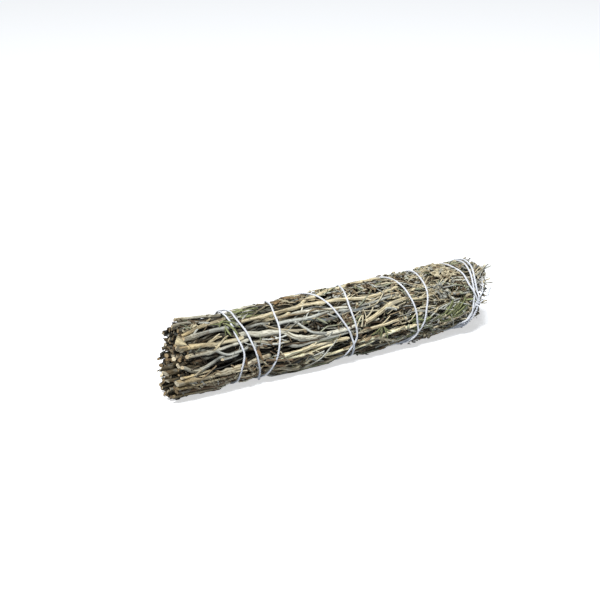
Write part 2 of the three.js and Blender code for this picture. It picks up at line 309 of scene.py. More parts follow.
def bound_radius(x, angle):
    """The bundle's outline: its radius at places along and angles round it."""
    x, angle = np.broadcast_arrays(np.asarray(x, float), np.asarray(angle, float) % 360)
    down = np.maximum(1e-6, -np.cos(np.radians(angle)))
    share = np.clip(x / LENGTH, 0, 1)
    round_radius = BUTT_RADIUS + (TIP_RADIUS - BUTT_RADIUS) * share + BELLY * np.sin(np.pi * share)
    free = np.minimum(round_radius, (AXIS_HEIGHT + SETTLE) / down)
    press = np.zeros(x.shape)
    turned = angle.copy()
    while turned.min() <= LAST_TURN[-1][0]:
        wound = (turned >= WINDING[0][0]) & (turned <= LAST_TURN[-1][0])
        press += wound * np.exp(-(((x - thread_along(turned)) / PINCH_SPREAD) ** 2))
        turned = turned + 360
    depth = PINCH + (PINCH_UNDER - PINCH) * ease(down, 0.5, 0.95)
    return free - depth * np.minimum(1, press)


def across(angle, radius):
    """Places in the cross-section, from the bundle's middle towards its back and up."""
    turned = np.radians(angle)
    return np.stack([-radius * np.sin(turned), radius * np.cos(turned)], axis=-1)


def angle_of(place):
    """The other way round: the angle of places in the cross-section."""
    return np.degrees(np.arctan2(-place[..., 0], place[..., 1]))


def to_table(x, angle, radius, lowest=0.0):
    """Places along, angles and radii as points in millimetres, at least so high over the table."""
    side = -BOW * np.sin(np.pi * np.clip(x / LENGTH, 0, 1))
    back_and_up = across(angle, radius)
    height = np.maximum(AXIS_HEIGHT + back_and_up[..., 1], lowest)
    return np.stack([x + BUTT_X, side + back_and_up[..., 0] + AXIS_Y, height], axis=-1)


# The outline and, above what has been laid so far, the skin are kept for spots a millimetre apart.
spot_x = np.arange(-8.0, 220.0)
SPOTS_ROUND = 240
EMPTY = 10.0
outline = bound_radius(spot_x[:, None], np.arange(SPOTS_ROUND)[None, :] * 360 / SPOTS_ROUND)
skin = np.full(outline.shape, EMPTY)


def spot(x, angle):
    """The rows and columns of the nearest spots."""
    row = np.clip(np.rint(x - spot_x[0]).astype(int), 0, len(spot_x) - 1)
    return row, np.rint(np.asarray(angle) * SPOTS_ROUND / 360).astype(int) % SPOTS_ROUND


def raise_skin(x, angle, radius, half_width):
    """Marks spots as covered up to a radius, over the width of what lies there."""
    for share, drop in ((-0.9, 0.5), (-0.45, 0.15), (0, 0), (0.45, 0.15), (0.9, 0.5)):
        beside = angle + np.degrees(share * half_width / np.maximum(5, radius))
        np.maximum.at(skin, spot(x, beside), radius - drop * half_width)


# --------------------------------------------------------------------------------------------------
# Sprigs: stems. Most are crooked, forked or broken somewhere, with knuckles where leaves grew and a
# cut face at the cut end. They were pressed together when the thread was pulled tight, so each stem
# starts from a rough lay and is pushed until it rests against its neighbours.
# --------------------------------------------------------------------------------------------------
LAY_STEP = 4.0
lay_x = np.arange(-12.0, 224.0, LAY_STEP)
chance = np.random.default_rng(20)

STRAW = paint(0.89, 0.84, 0.70)
CREAM = paint(0.88, 0.87, 0.80)
TAN = paint(0.71, 0.67, 0.57)
WEATHERED = paint(0.71, 0.72, 0.69)
OLIVE = paint(0.56, 0.58, 0.50)
SLATE = paint(0.46, 0.49, 0.50)
BROWN = paint(0.46, 0.39, 0.31)
BARKS = np.array([STRAW, CREAM, TAN, WEATHERED, OLIVE, SLATE, BROWN])

# Stems on the knot's side, listed one by one: thickness at both ends, bark, and places along and
# round.
LAID_STEMS = [
    (2.1, 1.7, 1, [(4, -26), (13, -25), (24, -16), (34, -14), (52, -12)]),
    (2.3, 1.8, 0, [(-1, 30), (6, 24), (12, 19), (20, 14), (31, 7), (42, 2)]),
    (2.8, 2.3, 3, [(-1, 38), (7, 36), (14, 33), (23, 30), (36, 26)]),
    (2.6, 2.4, 0, [(-3, 46), (4, 49), (10, 51), (17, 54), (24, 52), (31, 52), (35, 50)]),
    (1.7, 1.2, 2, [(37, 63), (44, 67), (52, 73), (57, 76)]),
    (2.4, 1.6, 1, [(-1, 63), (6, 63), (13, 64), (22, 61), (30, 60), (38, 58)]),
    (1.5, 1.0, 0, [(13, 62), (18, 56), (21, 52), (26, 44)]),
    (1.7, 1.0, 3, [(14, 65), (18, 71), (23, 75), (29, 74), (36, 70)]),
    (2.2, 1.6, 3, [(-5, 78), (0, 86), (5, 88), (11, 84), (17, 79), (25, 75), (36, 70)]),
    (3.5, 2.6, 0, [(-3, 104), (5, 102), (11, 100), (20, 101), (27, 99), (34, 98), (40, 93),
                   (50, 90)]),
    (2.2, 1.8, 2, [(-5, 110), (6, 116), (20, 121), (40, 122)]),
    (2.0, 1.5, 3, [(-2, 2), (4, 0), (9, 3), (14, 10), (19, 15)]),
    (1.6, 1.3, 0, [(9, 44), (16, 45), (22, 45)]),
    (1.8, 1.4, 3, [(19, 77), (24, 76), (30, 75)]),
    (2.4, 2.2, 0, [(36, 24), (58, 24), (80, 21), (92, 22), (103, 27), (119, 31), (131, 28),
                   (143, 20)]),
    (2.0, 1.5, 0, [(36, 33), (46, 32), (57, 29), (64, 28), (68, 25)]),
    (1.7, 1.4, 3, [(37, 40), (45, 38), (53, 39)]),
    (3.7, 2.2, 1, [(33, 49), (38, 48), (43, 54), (49, 55), (55, 57), (60, 59), (63, 66), (67, 71),
                   (72, 75), (78, 76), (86, 76), (98, 77), (106, 77)]),
    (1.9, 1.3, 3, [(64, 33), (71, 53), (77, 65), (86, 73)]),
    (1.5, 1.3, 2, [(43, 39), (50, 44), (58, 52), (66, 59), (75, 63)]),
    (2.4, 1.4, 3, [(58, 41), (68, 43), (77, 45), (88, 44), (98, 43), (106, 45), (114, 48),
                   (124, 51)]),
    (1.8, 1.6, 1, [(66, 33), (74, 33), (83, 36), (93, 37), (104, 39)]),
    (2.0, 1.6, 5, [(74, 56), (83, 53), (92, 51), (103, 48), (112, 46)]),
    (1.7, 1.4, 3, [(54, 86), (62, 84), (70, 84), (80, 83), (90, 82), (98, 82), (108, 82)]),
    (2.6, 2.2, 0, [(53, 94), (62, 93), (71, 91), (80, 90), (90, 90), (101, 91)]),
    (2.0, 1.6, 0, [(51, 103), (65, 102), (74, 101), (81, 97), (91, 94)]),
    (2.0, 1.6, 0, [(64, 116), (75, 116), (84, 113), (92, 113), (102, 112)]),
    (2.2, 1.6, 2, [(46, 119), (58, 119), (65, 128), (76, 134), (88, 131), (104, 128)]),
    (2.1, 1.9, 0, [(72, 13), (87, 5), (97, -2), (108, -11), (119, -13), (128, -11), (139, -15)]),
    (2.2, 1.4, 0, [(131, 40), (138, 40), (144, 38), (150, 35), (160, 33), (169, 37)]),
    (2.2, 1.5, 0, [(141, 46), (147, 50), (153, 52), (160, 51), (168, 48)]),
    (3.1, 2.4, 0, [(112, 71), (118, 66), (124, 60), (130, 55), (137, 51), (145, 47)]),
    (2.0, 1.7, 0, [(105, 90), (117, 84), (125, 83), (132, 81), (144, 80)]),
    (1.8, 1.5, 1, [(108, 79), (115, 75), (122, 71)]),
    (1.8, 1.6, 3, [(126, 71), (130, 70), (135, 68)]),
    (2.4, 1.8, 0, [(103, 104), (117, 101), (125, 101), (133, 99), (143, 99), (152, 100)]),
    (1.7, 1.3, 0, [(104, 119), (111, 112), (119, 107)]),
    (1.6, 1.4, 3, [(110, 46), (117, 45), (124, 44), (132, 41), (137, 39)]),
    (1.0, 0.8, 4, [(110, 47), (113, 42), (119, 31)]),
    (1.8, 1.6, 0, [(95, 16), (101, 15), (107, 15)]),
    (1.3, 1.0, 3, [(124, 11), (130, 15), (134, 20), (137, 27)]),
    (1.4, 1.1, 3, [(133, 17), (138, 12), (143, 7)]),
    (1.5, 1.2, 1, [(149, 11), (154, 16), (159, 23)]),
    (1.7, 1.3, 3, [(146, 72), (153, 76), (159, 81), (163, 88), (169, 101)]),
    (1.5, 1.0, 1, [(158, 45), (163, 42), (167, 44), (169, 52)]),
    (1.5, 1.1, 1, [(175, 34), (183, 31), (194, 37)]),
    (1.4, 1.0, 1, [(174, 42), (180, 39), (190, 39)]),
    (1.6, 1.2, 3, [(176, 58), (183, 61), (190, 63)]),
    (1.9, 1.4, 2, [(168, 109), (178, 103), (188, 101)]),
    (1.7, 1.3, 0, [(150, 102), (160, 96), (168, 92)]),
    (2.1, 1.5, 2, [(118, 118), (138, 121), (156, 125), (176, 128)]),
    (2.6, 2.0, 6, [(-8, 122), (6, 124), (24, 128), (46, 128)]),
    (2.0, 1.6, 2, [(-9.5, 134), (4, 136), (20, 140)]),
    (1.9, 1.4, 0, [(-8.5, 112), (0, 111), (12, 110), (22, 112)]),
    (2.3, 1.9, 6, [(-9, 147), (8, 150), (30, 148)]),
    (1.7, 1.4, 0, [(-6, 94), (2, 94), (12, 93)]),
]
FRONT = (-30, 135)                     # the angles over which those lie
SPLIT_STEM = 3                         # the one whose end is split wide and cut on the slant
SPLIT_WIDER, SPLIT_SLANT = 0.5, 1.5
# How far a stem's cut end has sprung clear of the bundle, and how far one lies on those it crosses.
FLARES = {0: 1.7, 1: 0.6, 2: 0.6}
RAISED = {14: 0.4, 17: 0.2, 28: 0.5, 31: 0.8, 38: 0.7}
# Stems that end in a pale fresh cut: angle and distance from the bundle's middle. The cut was made
# a little further out than the others, where they are a little thicker.
PALE_ENDS = [(77, 15.7), (137, 11.4), (104, 19.0), (45, 16.9), (156, 4.0), (-158, 9.4), (120, 16.0),
             (60, 8.0), (118, 8.0), (140, 17.5), (128, 14.5)]
PALE_REACH, PALE_WIDER, PALE_BARK = 1.5, 0.2, 2
CUT_BACK, CUT_SLANT, CUT_LONGEST = 2.5, 6.5, 150       # the last is where it sticks out furthest
TIP_BACK, TIP_SLANT, TIP_LONGEST = 8.0, 8.0, -20
ASKEW_DEPTH = 15.0                     # the ends are level this deep and deeper
BEHIND_LAID = 1.1                      # how much deeper drawn stems lie behind the laid ones


def wander(size, lengths, shares):
    """Smooth sideways wandering along the bundle, a different one for each of size stems."""
    total = np.zeros((size, len(lay_x)))
    for length, share in zip(lengths, shares):
        phase = chance.uniform(0, 2 * np.pi, (size, 1))
        stretch = chance.uniform(0.75, 1.3, (size, 1))
        total += share * np.sin(2 * np.pi * lay_x / (length * stretch) + phase)
    return total


def cut_end(angle):
    """Where the cut end is: it was cut askew, and sticks out furthest low in front."""
    return -CUT_BACK - CUT_SLANT * np.cos(np.radians(angle - CUT_LONGEST))


def tip_end(angle):
    """Where the tips end: they reach furthest on top."""
    return LENGTH - TIP_BACK + TIP_SLANT * np.cos(np.radians(angle - TIP_LONGEST))


def how_outer(depth):
    """1 at the surface, where the ends are askew, and 0 towards the middle, where they are level."""
    return np.clip(1 - depth / ASKEW_DEPTH, 0, 1)


def in_front(angle):
    """Whether the listed stems cover that angle."""
    return (angle - FRONT[0]) % 360 < FRONT[1] - FRONT[0]


def lay_layer(count, front_share, depth, thickness, slant, start, length, stop):
    """One layer's stems: angles and depths along them, both ends, and their radius at each end."""
    angle = chance.uniform(0, 360, count * 4)
    angle = angle[~in_front(angle) | (chance.random(count * 4) < front_share)][:count, None]
    angle = angle + wander(count, (150, 62, 27), (5.0, 3.6, 2.1))
    angle = angle + chance.normal(0, slant, (count, 1)) * (lay_x - LENGTH / 2) / LENGTH
    deep = chance.uniform(*depth, (count, 1)) + wander(count, (90, 45), (0.35, 0.25))
    deep = deep + BEHIND_LAID * (in_front(angle[:, :1]) & (depth[1] < 1))
    outer = how_outer(np.mean(depth))
    begin = chance.uniform(*start, count)
    if start[0] < 0:
        begin = np.maximum(begin, -CUT_BACK) + outer * cut_end(angle[:, 0])
    finish = tip_end(angle[:, -1]) * outer + (1 - outer) * LENGTH + chance.uniform(*stop, count)
    finish = np.minimum(begin + chance.uniform(*length, count), finish)
    butt = chance.uniform(*thickness, count) / 2
    tip = butt * chance.uniform(0.45, 0.8, count)
    return angle, deep, begin, np.maximum(finish, begin + 12), butt, tip


LAYERS = [
    # count, share in front, depth, thickness, slant, cut end, length, tip
    (26, 0.10, (0.0, 0.3), (1.6, 2.8), 18, (-1, 6), (80, 190), (-35, -2)),
    (62, 0.40, (0.0, 0.4), (0.8, 1.5), 26, (10, 150), (25, 90), (-25, 0)),
    (36, 1.00, (2.3, 3.6), (1.3, 2.5), 20, (-3, 8), (120, 220), (-16, 0)),
    (26, 1.00, (2.0, 3.6), (0.8, 1.8), 26, (10, 170), (30, 120), (-12, 2)),
    (40, 1.00, (1.0, 4.5), (0.9, 1.9), 14, (-6, 4), (14, 45), (-12, 0)),
    (40, 1.00, (4.2, 5.4), (1.4, 2.8), 18, (-4, 9), (150, 230), (-14, 0)),
    (36, 1.00, (5.0, 14.0), (0.9, 2.0), 14, (-5, 5), (14, 40), (-14, 0)),
    (38, 1.00, (7.4, 9.0), (1.5, 3.0), 16, (-4, 9), (180, 240), (-14, 0)),
    (24, 1.00, (11.0, 13.0), (1.5, 3.0), 14, (-4, 9), (180, 240), (-14, 0)),
    (14, 1.00, (15.5, 18.0), (1.5, 3.0), 14, (-4, 9), (180, 240), (-14, 0)),
]
INNER = 5                              # layers from this one on are seen only at the ends
drawn = [lay_layer(*layer) for layer in LAYERS]
hand = len(LAID_STEMS)
layer_of = np.repeat(np.arange(-1, len(LAYERS)), [hand] + [len(layer[2]) for layer in drawn]).clip(0)
thick, thin, laid_bark, paths = zip(*LAID_STEMS)
by_hand = ([through(path, lay_x) for path in paths], wander(hand, (60, 33), (0.15, 0.1)),
           [path[0][0] for path in paths], [path[-1][0] for path in paths],
           np.array(thick) / 2, np.array(thin) / 2)
angle_aim, depth_aim, begin, finish, butt_radius, tip_radius = (
    np.concatenate(part) for part in zip(by_hand, *drawn))
stems = len(begin)
bark_of = chance.choice(7, stems, p=(0.20, 0.15, 0.18, 0.17, 0.12, 0.09, 0.09))
bark_of[:hand] = laid_bark

# The thread's pull, worked out in rounds: every two stems that overlap push each other apart by a
# part of their overlap, thin ones more than thick, then are pulled back a little towards their lay.
ROUNDS, PUSH, PULL_BACK = 40, 0.62, 0.985
PACKING = 0.97                         # of both radii, how near two stems may come
LAID_PROUD, LOOSE_PROUD = 0.3, 0.15    # how far one may stand past the outline
LAID_YIELD = 0.05                      # how little the laid stems are pushed aside
share = np.clip((lay_x - begin[:, None]) / (finish - begin)[:, None], 0, 1)
radius = butt_radius[:, None] + (tip_radius - butt_radius)[:, None] * share
radius[SPLIT_STEM] += SPLIT_WIDER * (1 - ease(lay_x, 0, 12))
flare = np.zeros(radius.shape)
for number, sprung in FLARES.items():
    flare[number] = sprung * (1 - ease(lay_x, 0, 28))
for number, raised in RAISED.items():
    flare[number] += raised
there = (lay_x > begin[:, None] - LAY_STEP) & (lay_x < finish[:, None] + LAY_STEP)
aim_radial = bound_radius(lay_x, angle_aim) - radius - np.maximum(0, depth_aim) + flare
aim = across(angle_aim, np.maximum(0.5, aim_radial))
place = aim.copy()
spread = np.linalg.norm(aim[:, None, ::3] - aim[None, :, ::3], axis=-1).min(axis=2)
near = spread < radius.max(1)[:, None] + radius.max(1) + 2.5
first, second = np.nonzero(np.triu(near, 1))
both = there[first] & there[second]
room_wanted = (radius[first] + radius[second]) * PACKING
yields = np.where(np.arange(stems) < hand, LAID_YIELD, 1.0 / (0.5 + butt_radius))
share_first = (yields[first] / (yields[first] + yields[second]))[:, None]
station = np.arange(len(lay_x))
cell_first = (first[:, None] * len(lay_x) + station).ravel()
cell_second = (second[:, None] * len(lay_x) + station).ravel()
proud_of = np.where(np.arange(stems) < hand, LAID_PROUD, LOOSE_PROUD)[:, None]
for _ in range(ROUNDS):
    gap = place[first] - place[second]
    distance = np.maximum(1e-3, np.linalg.norm(gap, axis=-1))
    overlap = np.maximum(0, room_wanted - distance) * both * PUSH
    push = gap / distance[..., None] * overlap[..., None]
    for axis in (0, 1):
        pushed = push[..., axis]
        moved = np.bincount(cell_first, (pushed * share_first).ravel(), radius.size)
        moved -= np.bincount(cell_second, (pushed * (1 - share_first)).ravel(), radius.size)
        place[..., axis] += moved.reshape(radius.shape)
    drift = place - aim
    drift[:, 1:-1] = 0.5 * drift[:, 1:-1] + 0.25 * (drift[:, :-2] + drift[:, 2:])
    place = aim + drift * PULL_BACK
    allowed = outline[spot(lay_x, angle_of(place))] - radius + flare + proud_of
    place *= np.minimum(1, allowed / np.maximum(np.linalg.norm(place, axis=-1), 1e-3))[..., None]

fresh_of = chance.random(stems) ** 1.3
fresh_of[SPLIT_STEM] = 1.0
behind_cut = int(np.argmin(np.abs(lay_x)))
for end_angle, end_radial in PALE_ENDS:
    apart = np.linalg.norm(place[:, behind_cut] - across(end_angle, end_radial), axis=-1)
    number = int(np.argmin(np.where(begin > 2, np.inf, apart)))
    begin[number] = cut_end(end_angle) - PALE_REACH
    radius[number] = radius[number] + PALE_WIDER * (1 - ease(lay_x, -4, 8))
    fresh_of[number] = 1.0
    bark_of[number] = PALE_BARK

# Most stems that start part way along fork from a thicker one beside them. The rest are broken.
FORK_SHARE, FORK_REACH = 0.6, 7.0
for i in np.nonzero((begin > 8) & (layer_of < INNER) & (chance.random(stems) < FORK_SHARE))[0]:
    at = int(np.argmin(np.abs(lay_x - begin[i])))
    apart = np.linalg.norm(place[:, at] - place[i, at], axis=-1)
    elsewhere = (begin > begin[i] - 6) | (finish < begin[i] + 12)
    apart[elsewhere | (radius[:, at] < radius[i, at])] = np.inf
    parent = int(np.argmin(apart))
    if apart[parent] < FORK_REACH:
        grown = ease(lay_x, begin[i], begin[i] + 5 + 2.2 * apart[parent])
        place[i] += (place[parent] - place[i]) * (1 - grown)[:, None]


def between(values, at):
    """Values known at each station, read smoothly at other places along."""
    f = np.clip((at - lay_x[0]) / LAY_STEP, 1, len(lay_x) - 3)
    i = f.astype(int)
    t = (f - i)[:, None] if values.ndim == 2 else f - i
    a, b, c, d = values[i - 1], values[i], values[i + 1], values[i + 2]
    return b + 0.5 * t * (c - a + t * (2 * a - 5 * b + 4 * c - d + t * (3 * (b - c) + d - a)))


class Lines:
    """Lines that become stems, leaves or thread, with what is needed to know at each point."""

    KINDS = {"thick": "FLOAT", "along": "FLOAT", "slant": "FLOAT", "turn": "FLOAT", "fresh": "FLOAT",
             "strand": "INT", "tone": "FLOAT_COLOR", "outward": "FLOAT_VECTOR"}
    strands = 0                        # so far in all sets of lines

    def __init__(self):
        self.points = []
        self.edges = []
        self.values = {key: [] for key in self.KINDS}
        self.size = 0

    def add(self, points, angle, thick, tone, slant=0.0, turn=0.0, fresh=0.5, start=0.0):
        """Adds lines of equal length: points are (lines, points, 3), the rest broadcasts to that."""
        lines, size = points.shape[:2]
        steps = np.linalg.norm(np.diff(points, axis=1), axis=2)
        along = np.concatenate([np.zeros((lines, 1)), np.cumsum(steps, axis=1)], axis=1)
        outward = across(np.broadcast_to(angle, (lines, size)), 1.0)
        given = {
            "thick": np.asarray(thick) * MM,
            "along": (along + np.reshape(start, (-1, 1))) * MM,
            "slant": slant, "turn": turn, "fresh": fresh,
            "strand": (Lines.strands + np.arange(lines))[:, None],
        }
        for key, value in given.items():
            self.values[key].append(np.broadcast_to(value, (lines, size)).ravel())
        tone = np.asarray(tone)
        tone = np.broadcast_to(tone if tone.ndim == 3 else tone.reshape(-1, 1, 3), (lines, size, 3))
        self.values["tone"].append(np.concatenate([tone, np.ones((lines, size, 1))], axis=2).ravel())
        self.values["outward"].append(np.pad(outward, ((0, 0), (0, 0), (1, 0))).ravel())
        index = self.size + np.arange(lines * size).reshape(lines, size)
        self.edges.append(np.stack([index[:, :-1].ravel(), index[:, 1:].ravel()], axis=1))
        self.points.append(points.reshape(-1, 3) * MM)
        Lines.strands += lines
        self.size += lines * size

    def to_object(self, name):
        mesh = bpy.data.meshes.new(name)
        if self.points:
            mesh.from_pydata(np.concatenate(self.points), np.concatenate(self.edges).tolist(), [])
            for key, kind in self.KINDS.items():
                field = {"FLOAT_COLOR": "color", "FLOAT_VECTOR": "vector"}.get(kind, "value")
                layer = mesh.attributes.new(key, kind, "POINT")
                layer.data.foreach_set(field, np.concatenate(self.values[key]))
        return placed(name, mesh)


def numbers(items, name, width=1, kind=np.int32):
    """One property of many items, such as the vertex of every corner, as an array."""
    found = np.empty(len(items) * width, kind)
    items.foreach_get(name, found)
    return found


# The middle of each solid sprig at every station: each stem and leaf joins the sprig it lies in.
SPRIG_REACH = 14                       # how far along on both sides its corners are averaged
sprig_names = sorted(name for name in frame["nodes"] if name != "binding_thread")
sprig_middle = np.zeros((len(sprig_names), len(lay_x), 2))
for number, name in enumerate(sprig_names):
    corners = numbers(frame["nodes"][name].data.vertices, "co", 3, np.float32).reshape(-1, 3) / MM
    close = np.abs(corners[:, 0] - (lay_x + BUTT_X)[:, None]) < SPRIG_REACH
    sprig_middle[number] = close @ corners[:, 1:] / np.maximum(1, close.sum(1, keepdims=True))


def sprig_of(x, points):
    """The solid sprig nearest to each point."""
    at = np.clip(np.rint((x - lay_x[0]) / LAY_STEP).astype(int), 4, len(lay_x) - 6)
    return np.argmin(np.linalg.norm(sprig_middle[:, at] - points[..., 1:], axis=-1), axis=0)


stem_lines = [Lines() for _ in sprig_names]
twig_lines = [Lines() for _ in sprig_names]
leaf_lines = [Lines() for _ in sprig_names]
STEM_STEPS = (1.5, 1.5, 2.6, 2.6, 2.6, 5.0, 4.0, 5.0, 5.0, 5.0)   # between points, for each layer
KNUCKLES = 40                          # more than the longest stem has
KNUCKLE_LENGTH = 1.3
STEM_SINK = 0.75                       # of its radius, that a stem lies in under the outline
LAID_HIGHER = 0.15                     # and the laid ones this much less
KEPT_CLEAR = 1.35                      # of its width, where no litter covers a laid stem
TABLE_ANGLES = (95, 115)               # where the side turns under, towards the table
SHEARS_FROM = 40                       # the side that the shears leaned to
YELLOWED = np.array((0, 0.10, 0.26))   # what bark loses of each colour at the cut end
GRAIN_SHIFT = 37.0                     # from one stem's grain to the next one's
knuckle_spots = []


def buried(x, depth, at_cut_end, beyond):
    """The share of painted shade at a depth, where light reaches deeper away from the cut end."""
    return ease(depth / (at_cut_end + beyond * ease(x, 40, 90)), 0.15, 1.0)


for i in range(stems):
    outer = layer_of[i] < INNER
    size = max(6, int((finish[i] - begin[i]) / STEM_STEPS[layer_of[i]]))
    x = np.linspace(begin[i], finish[i], size)
    flat = between(place[i], x)
    thick = between(radius[i], x)
    if outer:
        # Knuckles where leaves and shoots grew, each with a slight change of direction.
        knuckles = np.cumsum(chance.uniform(6, 22, KNUCKLES)) + begin[i]
        swelling = chance.uniform(0.08, 0.5, KNUCKLES)
        swelling = np.exp(-(((x[:, None] - knuckles) / KNUCKLE_LENGTH) ** 2)) @ swelling
        turns = chance.normal(0, 0.45, (KNUCKLES + 2, 2))
        kinks = np.concatenate([[begin[i] - 9], knuckles, [999]])
        flat = flat + np.stack([np.interp(x, kinks, turns[:, axis]) for axis in (0, 1)], axis=1)
        thick = thick * (1 + swelling) * (1 + 0.07 * np.sin(x / chance.uniform(2, 5)))
    angle = angle_of(flat)
    free = outline[spot(x, angle)]
    allowed = free - STEM_SINK * thick + between(flare[i], x) + LAID_HIGHER * (i < hand)
    radial = np.minimum(np.hypot(flat[:, 0], flat[:, 1]), allowed)
    points = to_table(x, angle, radial, thick)
    thick[-1] *= 0.6 if outer else 1.0
    slant = np.zeros(len(x))
    # The shears leaned over, so cut faces look up and outwards.
    leans_out = math.cos(math.radians(angle[0] - SHEARS_FROM)) > 0
    slant[0] = SPLIT_SLANT
    if i != SPLIT_STEM:
        slant[0] = chance.uniform(0.1, 1.0) * (1 if leans_out else -1)
    slant[-1] = -chance.uniform(0, 1.2)
    # Painted shade, partly dust: deep stems are darker, less so at the cut end, tips and low down.
    hidden = buried(x, free - radial - thick, 1.3, 1.2)
    hidden = hidden * (0.96 + 0.04 * ease(x, -3, 12)) * (1 - 0.4 * ease(x, 140, 175))
    darkest = 0.95 - 0.12 * ease(angle, *TABLE_ANGLES)
    shade = (1 - darkest * hidden) * chance.uniform(0.85, 1.15) ** (1 if i < hand else 2.2)
    # All stems are a little darker towards the cut end.
    shade = shade * (0.90 + 0.10 * ease(x, 20, 90))
    # Painted light: the lowest stems are lighter, for what the white table throws back at them.
    shade = shade * (1 + 0.55 * (1 - hidden) * ease(angle, 85, 105) * ease(x, 10, 30))
    # Laid stems are a little darker still towards the cut end.
    if i < hand:
        shade = shade * (0.86 + 0.14 * ease(x, 40, 110))
    # Near the cut end the bark is yellower.
    warmth = 1 - (1 - ease(x, -2, 18))[:, None] * YELLOWED
    tone = BARKS[bark_of[i]] * shade[:, None] * warmth
    middle = len(x) // 2
    owner = int(sprig_of(x[middle], points[middle]))
    stem_lines[owner].add(points[None], angle, thick, tone[None],
                          slant=slant, fresh=fresh_of[i], start=GRAIN_SHIFT * i)
    if outer:
        raise_skin(x, angle, radial + thick, thick * (KEPT_CLEAR if i < hand else 1.0))
    if layer_of[i] < 2:
        for place_on in knuckles[knuckles < finish[i] - 3]:
            at = int(np.argmin(np.abs(x - place_on)))
            knuckle_spots.append((x[at], angle[at], radial[at], thick[at], bark_of[i]))
knuckle_spots = np.array(knuckle_spots)


LEAF_THICK = 0.3


def lay_bits(lines, x, angle, radial, length, width, heading, tone, shape, pitch=0.0, sway=0.0,
             curl=0.0, kinks=0.0, proud=LEAF_THICK, from_foot=False, **marks):
    """Leaves and broken twigs that lie on the bundle, one for each x. Turns are in degrees."""
    count = len(x)
    marks["start"] = chance.uniform(0, 4000, count)
    x, angle, radial, length, width, heading, pitch, sway, curl = (
        np.broadcast_to(value, count)[:, None] for value in
        (x, angle, radial, length, width, heading, pitch, sway, curl))
    t = np.linspace(0, 1, len(shape))
    bends = np.zeros((count, 1))
    if kinks:
        bends = np.cumsum(chance.normal(0, kinks, (count, len(shape))), axis=1)
    turn = np.radians(heading + sway * (t - 0.5) + bends - bends.mean(axis=1, keepdims=True))
    rise = np.radians(pitch + curl * (t - 0.5))

    def run(rate):
        steps = rate * length / (len(shape) - 1)
        moved = np.cumsum(steps, axis=1) - steps[:, :1]
        return moved if from_foot else moved - moved.mean(axis=1, keepdims=True)

    along = x + run(np.cos(turn) * np.cos(rise))
    round_to = angle + np.degrees(run(np.sin(turn) * np.cos(rise)) / np.maximum(6, radial))
    out = run(np.sin(rise))
    out = out if from_foot else out - out.min(axis=1, keepdims=True)
    radial = np.minimum(radial + out, outline[spot(along, round_to)] + np.reshape(proud, (-1, 1)))
    points = to_table(along, round_to, radial, LEAF_THICK)
    thick = np.asarray(shape) * width / 2
    raise_skin(along, round_to, radial + LEAF_THICK, thick)
    middle = len(shape) // 2
    owner = sprig_of(along[:, middle], points[:, middle])
    tone = np.broadcast_to(tone, (count, 3))
    for number in np.unique(owner):
        own = owner == number
        own_marks = {key: np.reshape(value, (-1, 1))[own] for key, value in marks.items()}
        lines[number].add(points[own], round_to[own], thick[own], tone[own], **own_marks)


# Stubs of broken side shoots at the knuckles.
STUB_SHAPE = (1.0, 0.8, 0.7, 0.62)
x, angle, radial, thick, bark = knuckle_spots[chance.random(len(knuckle_spots)) < 0.55].T
count = len(x)
side = chance.choice((-1, 1), count)
lay_bits(twig_lines, x, angle, radial, chance.uniform(2.5, 8.5, count),
         thick * chance.uniform(0.8, 1.3, count), side * chance.uniform(22, 62, count),
         BARKS[bark.astype(int)] * chance.uniform(0.75, 1.05, (count, 1)), STUB_SHAPE,
         pitch=chance.uniform(5, 25, count), sway=side * chance.uniform(-30, 10, count), proud=0.1,
         from_foot=True, fresh=chance.random(count))


# --------------------------------------------------------------------------------------------------
# Sprigs: leaves and litter. Narrow leaves with rolled edges dried on the stems. Most are brown and
# curled and have packed into the gaps, with snapped twigs and shreds of bark. Toward the tips they
# cover the stems, and a few tufts are still green.
# --------------------------------------------------------------------------------------------------
HUSK = paint(0.86, 0.82, 0.70)
DEAD_BROWN = paint(0.62, 0.55, 0.44)
DARK_BROWN = paint(0.44, 0.37, 0.29)
ASH = paint(0.80, 0.81, 0.78)
GREY_GREEN = paint(0.66, 0.68, 0.58)
MOSS = paint(0.54, 0.57, 0.45)
LITTER = np.array([HUSK, DEAD_BROWN, DARK_BROWN, ASH, GREY_GREEN, MOSS])
FRESH_GREEN = np.array(paint(0.56, 0.59, 0.42))
LEAF_SHAPE = (0.35, 0.9, 1.0, 0.95, 0.75, 0.2)
CRUMB_SHAPE = (0.5, 1.0, 0.9, 0.3)
TWIG_SHAPE = (1.0, 0.95, 1.05, 0.95, 0.85)
WISP_SHAPE = (0.6, 0.95, 1.1, 0.95, 1.0, 0.9, 1.15, 0.9, 0.75, 0.5)

# Each kind of litter: outline, length, width, and how it pitches, sways, curls, kinks and turns.
KINDS_OF_LITTER = {
    "leaf": (LEAF_SHAPE, (3.0, 8.0), (0.8, 1.6), 10, 75, 70, 0, 0.7),
    "crumb": (CRUMB_SHAPE, (1.2, 3.4), (0.7, 1.7), 20, 60, 80, 0, 1.0),
    "twig": (TWIG_SHAPE, (5, 18), (0.5, 1.2), 3, 22, 10, 0, 0.0),
    "wisp": (WISP_SHAPE, (14, 44), (0.5, 1.0), 0, 18, 4, 11, 0.0),
    "husk": (CRUMB_SHAPE, (2.4, 5.0), (1.3, 2.6), 14, 60, 70, 0, 0.8),
}

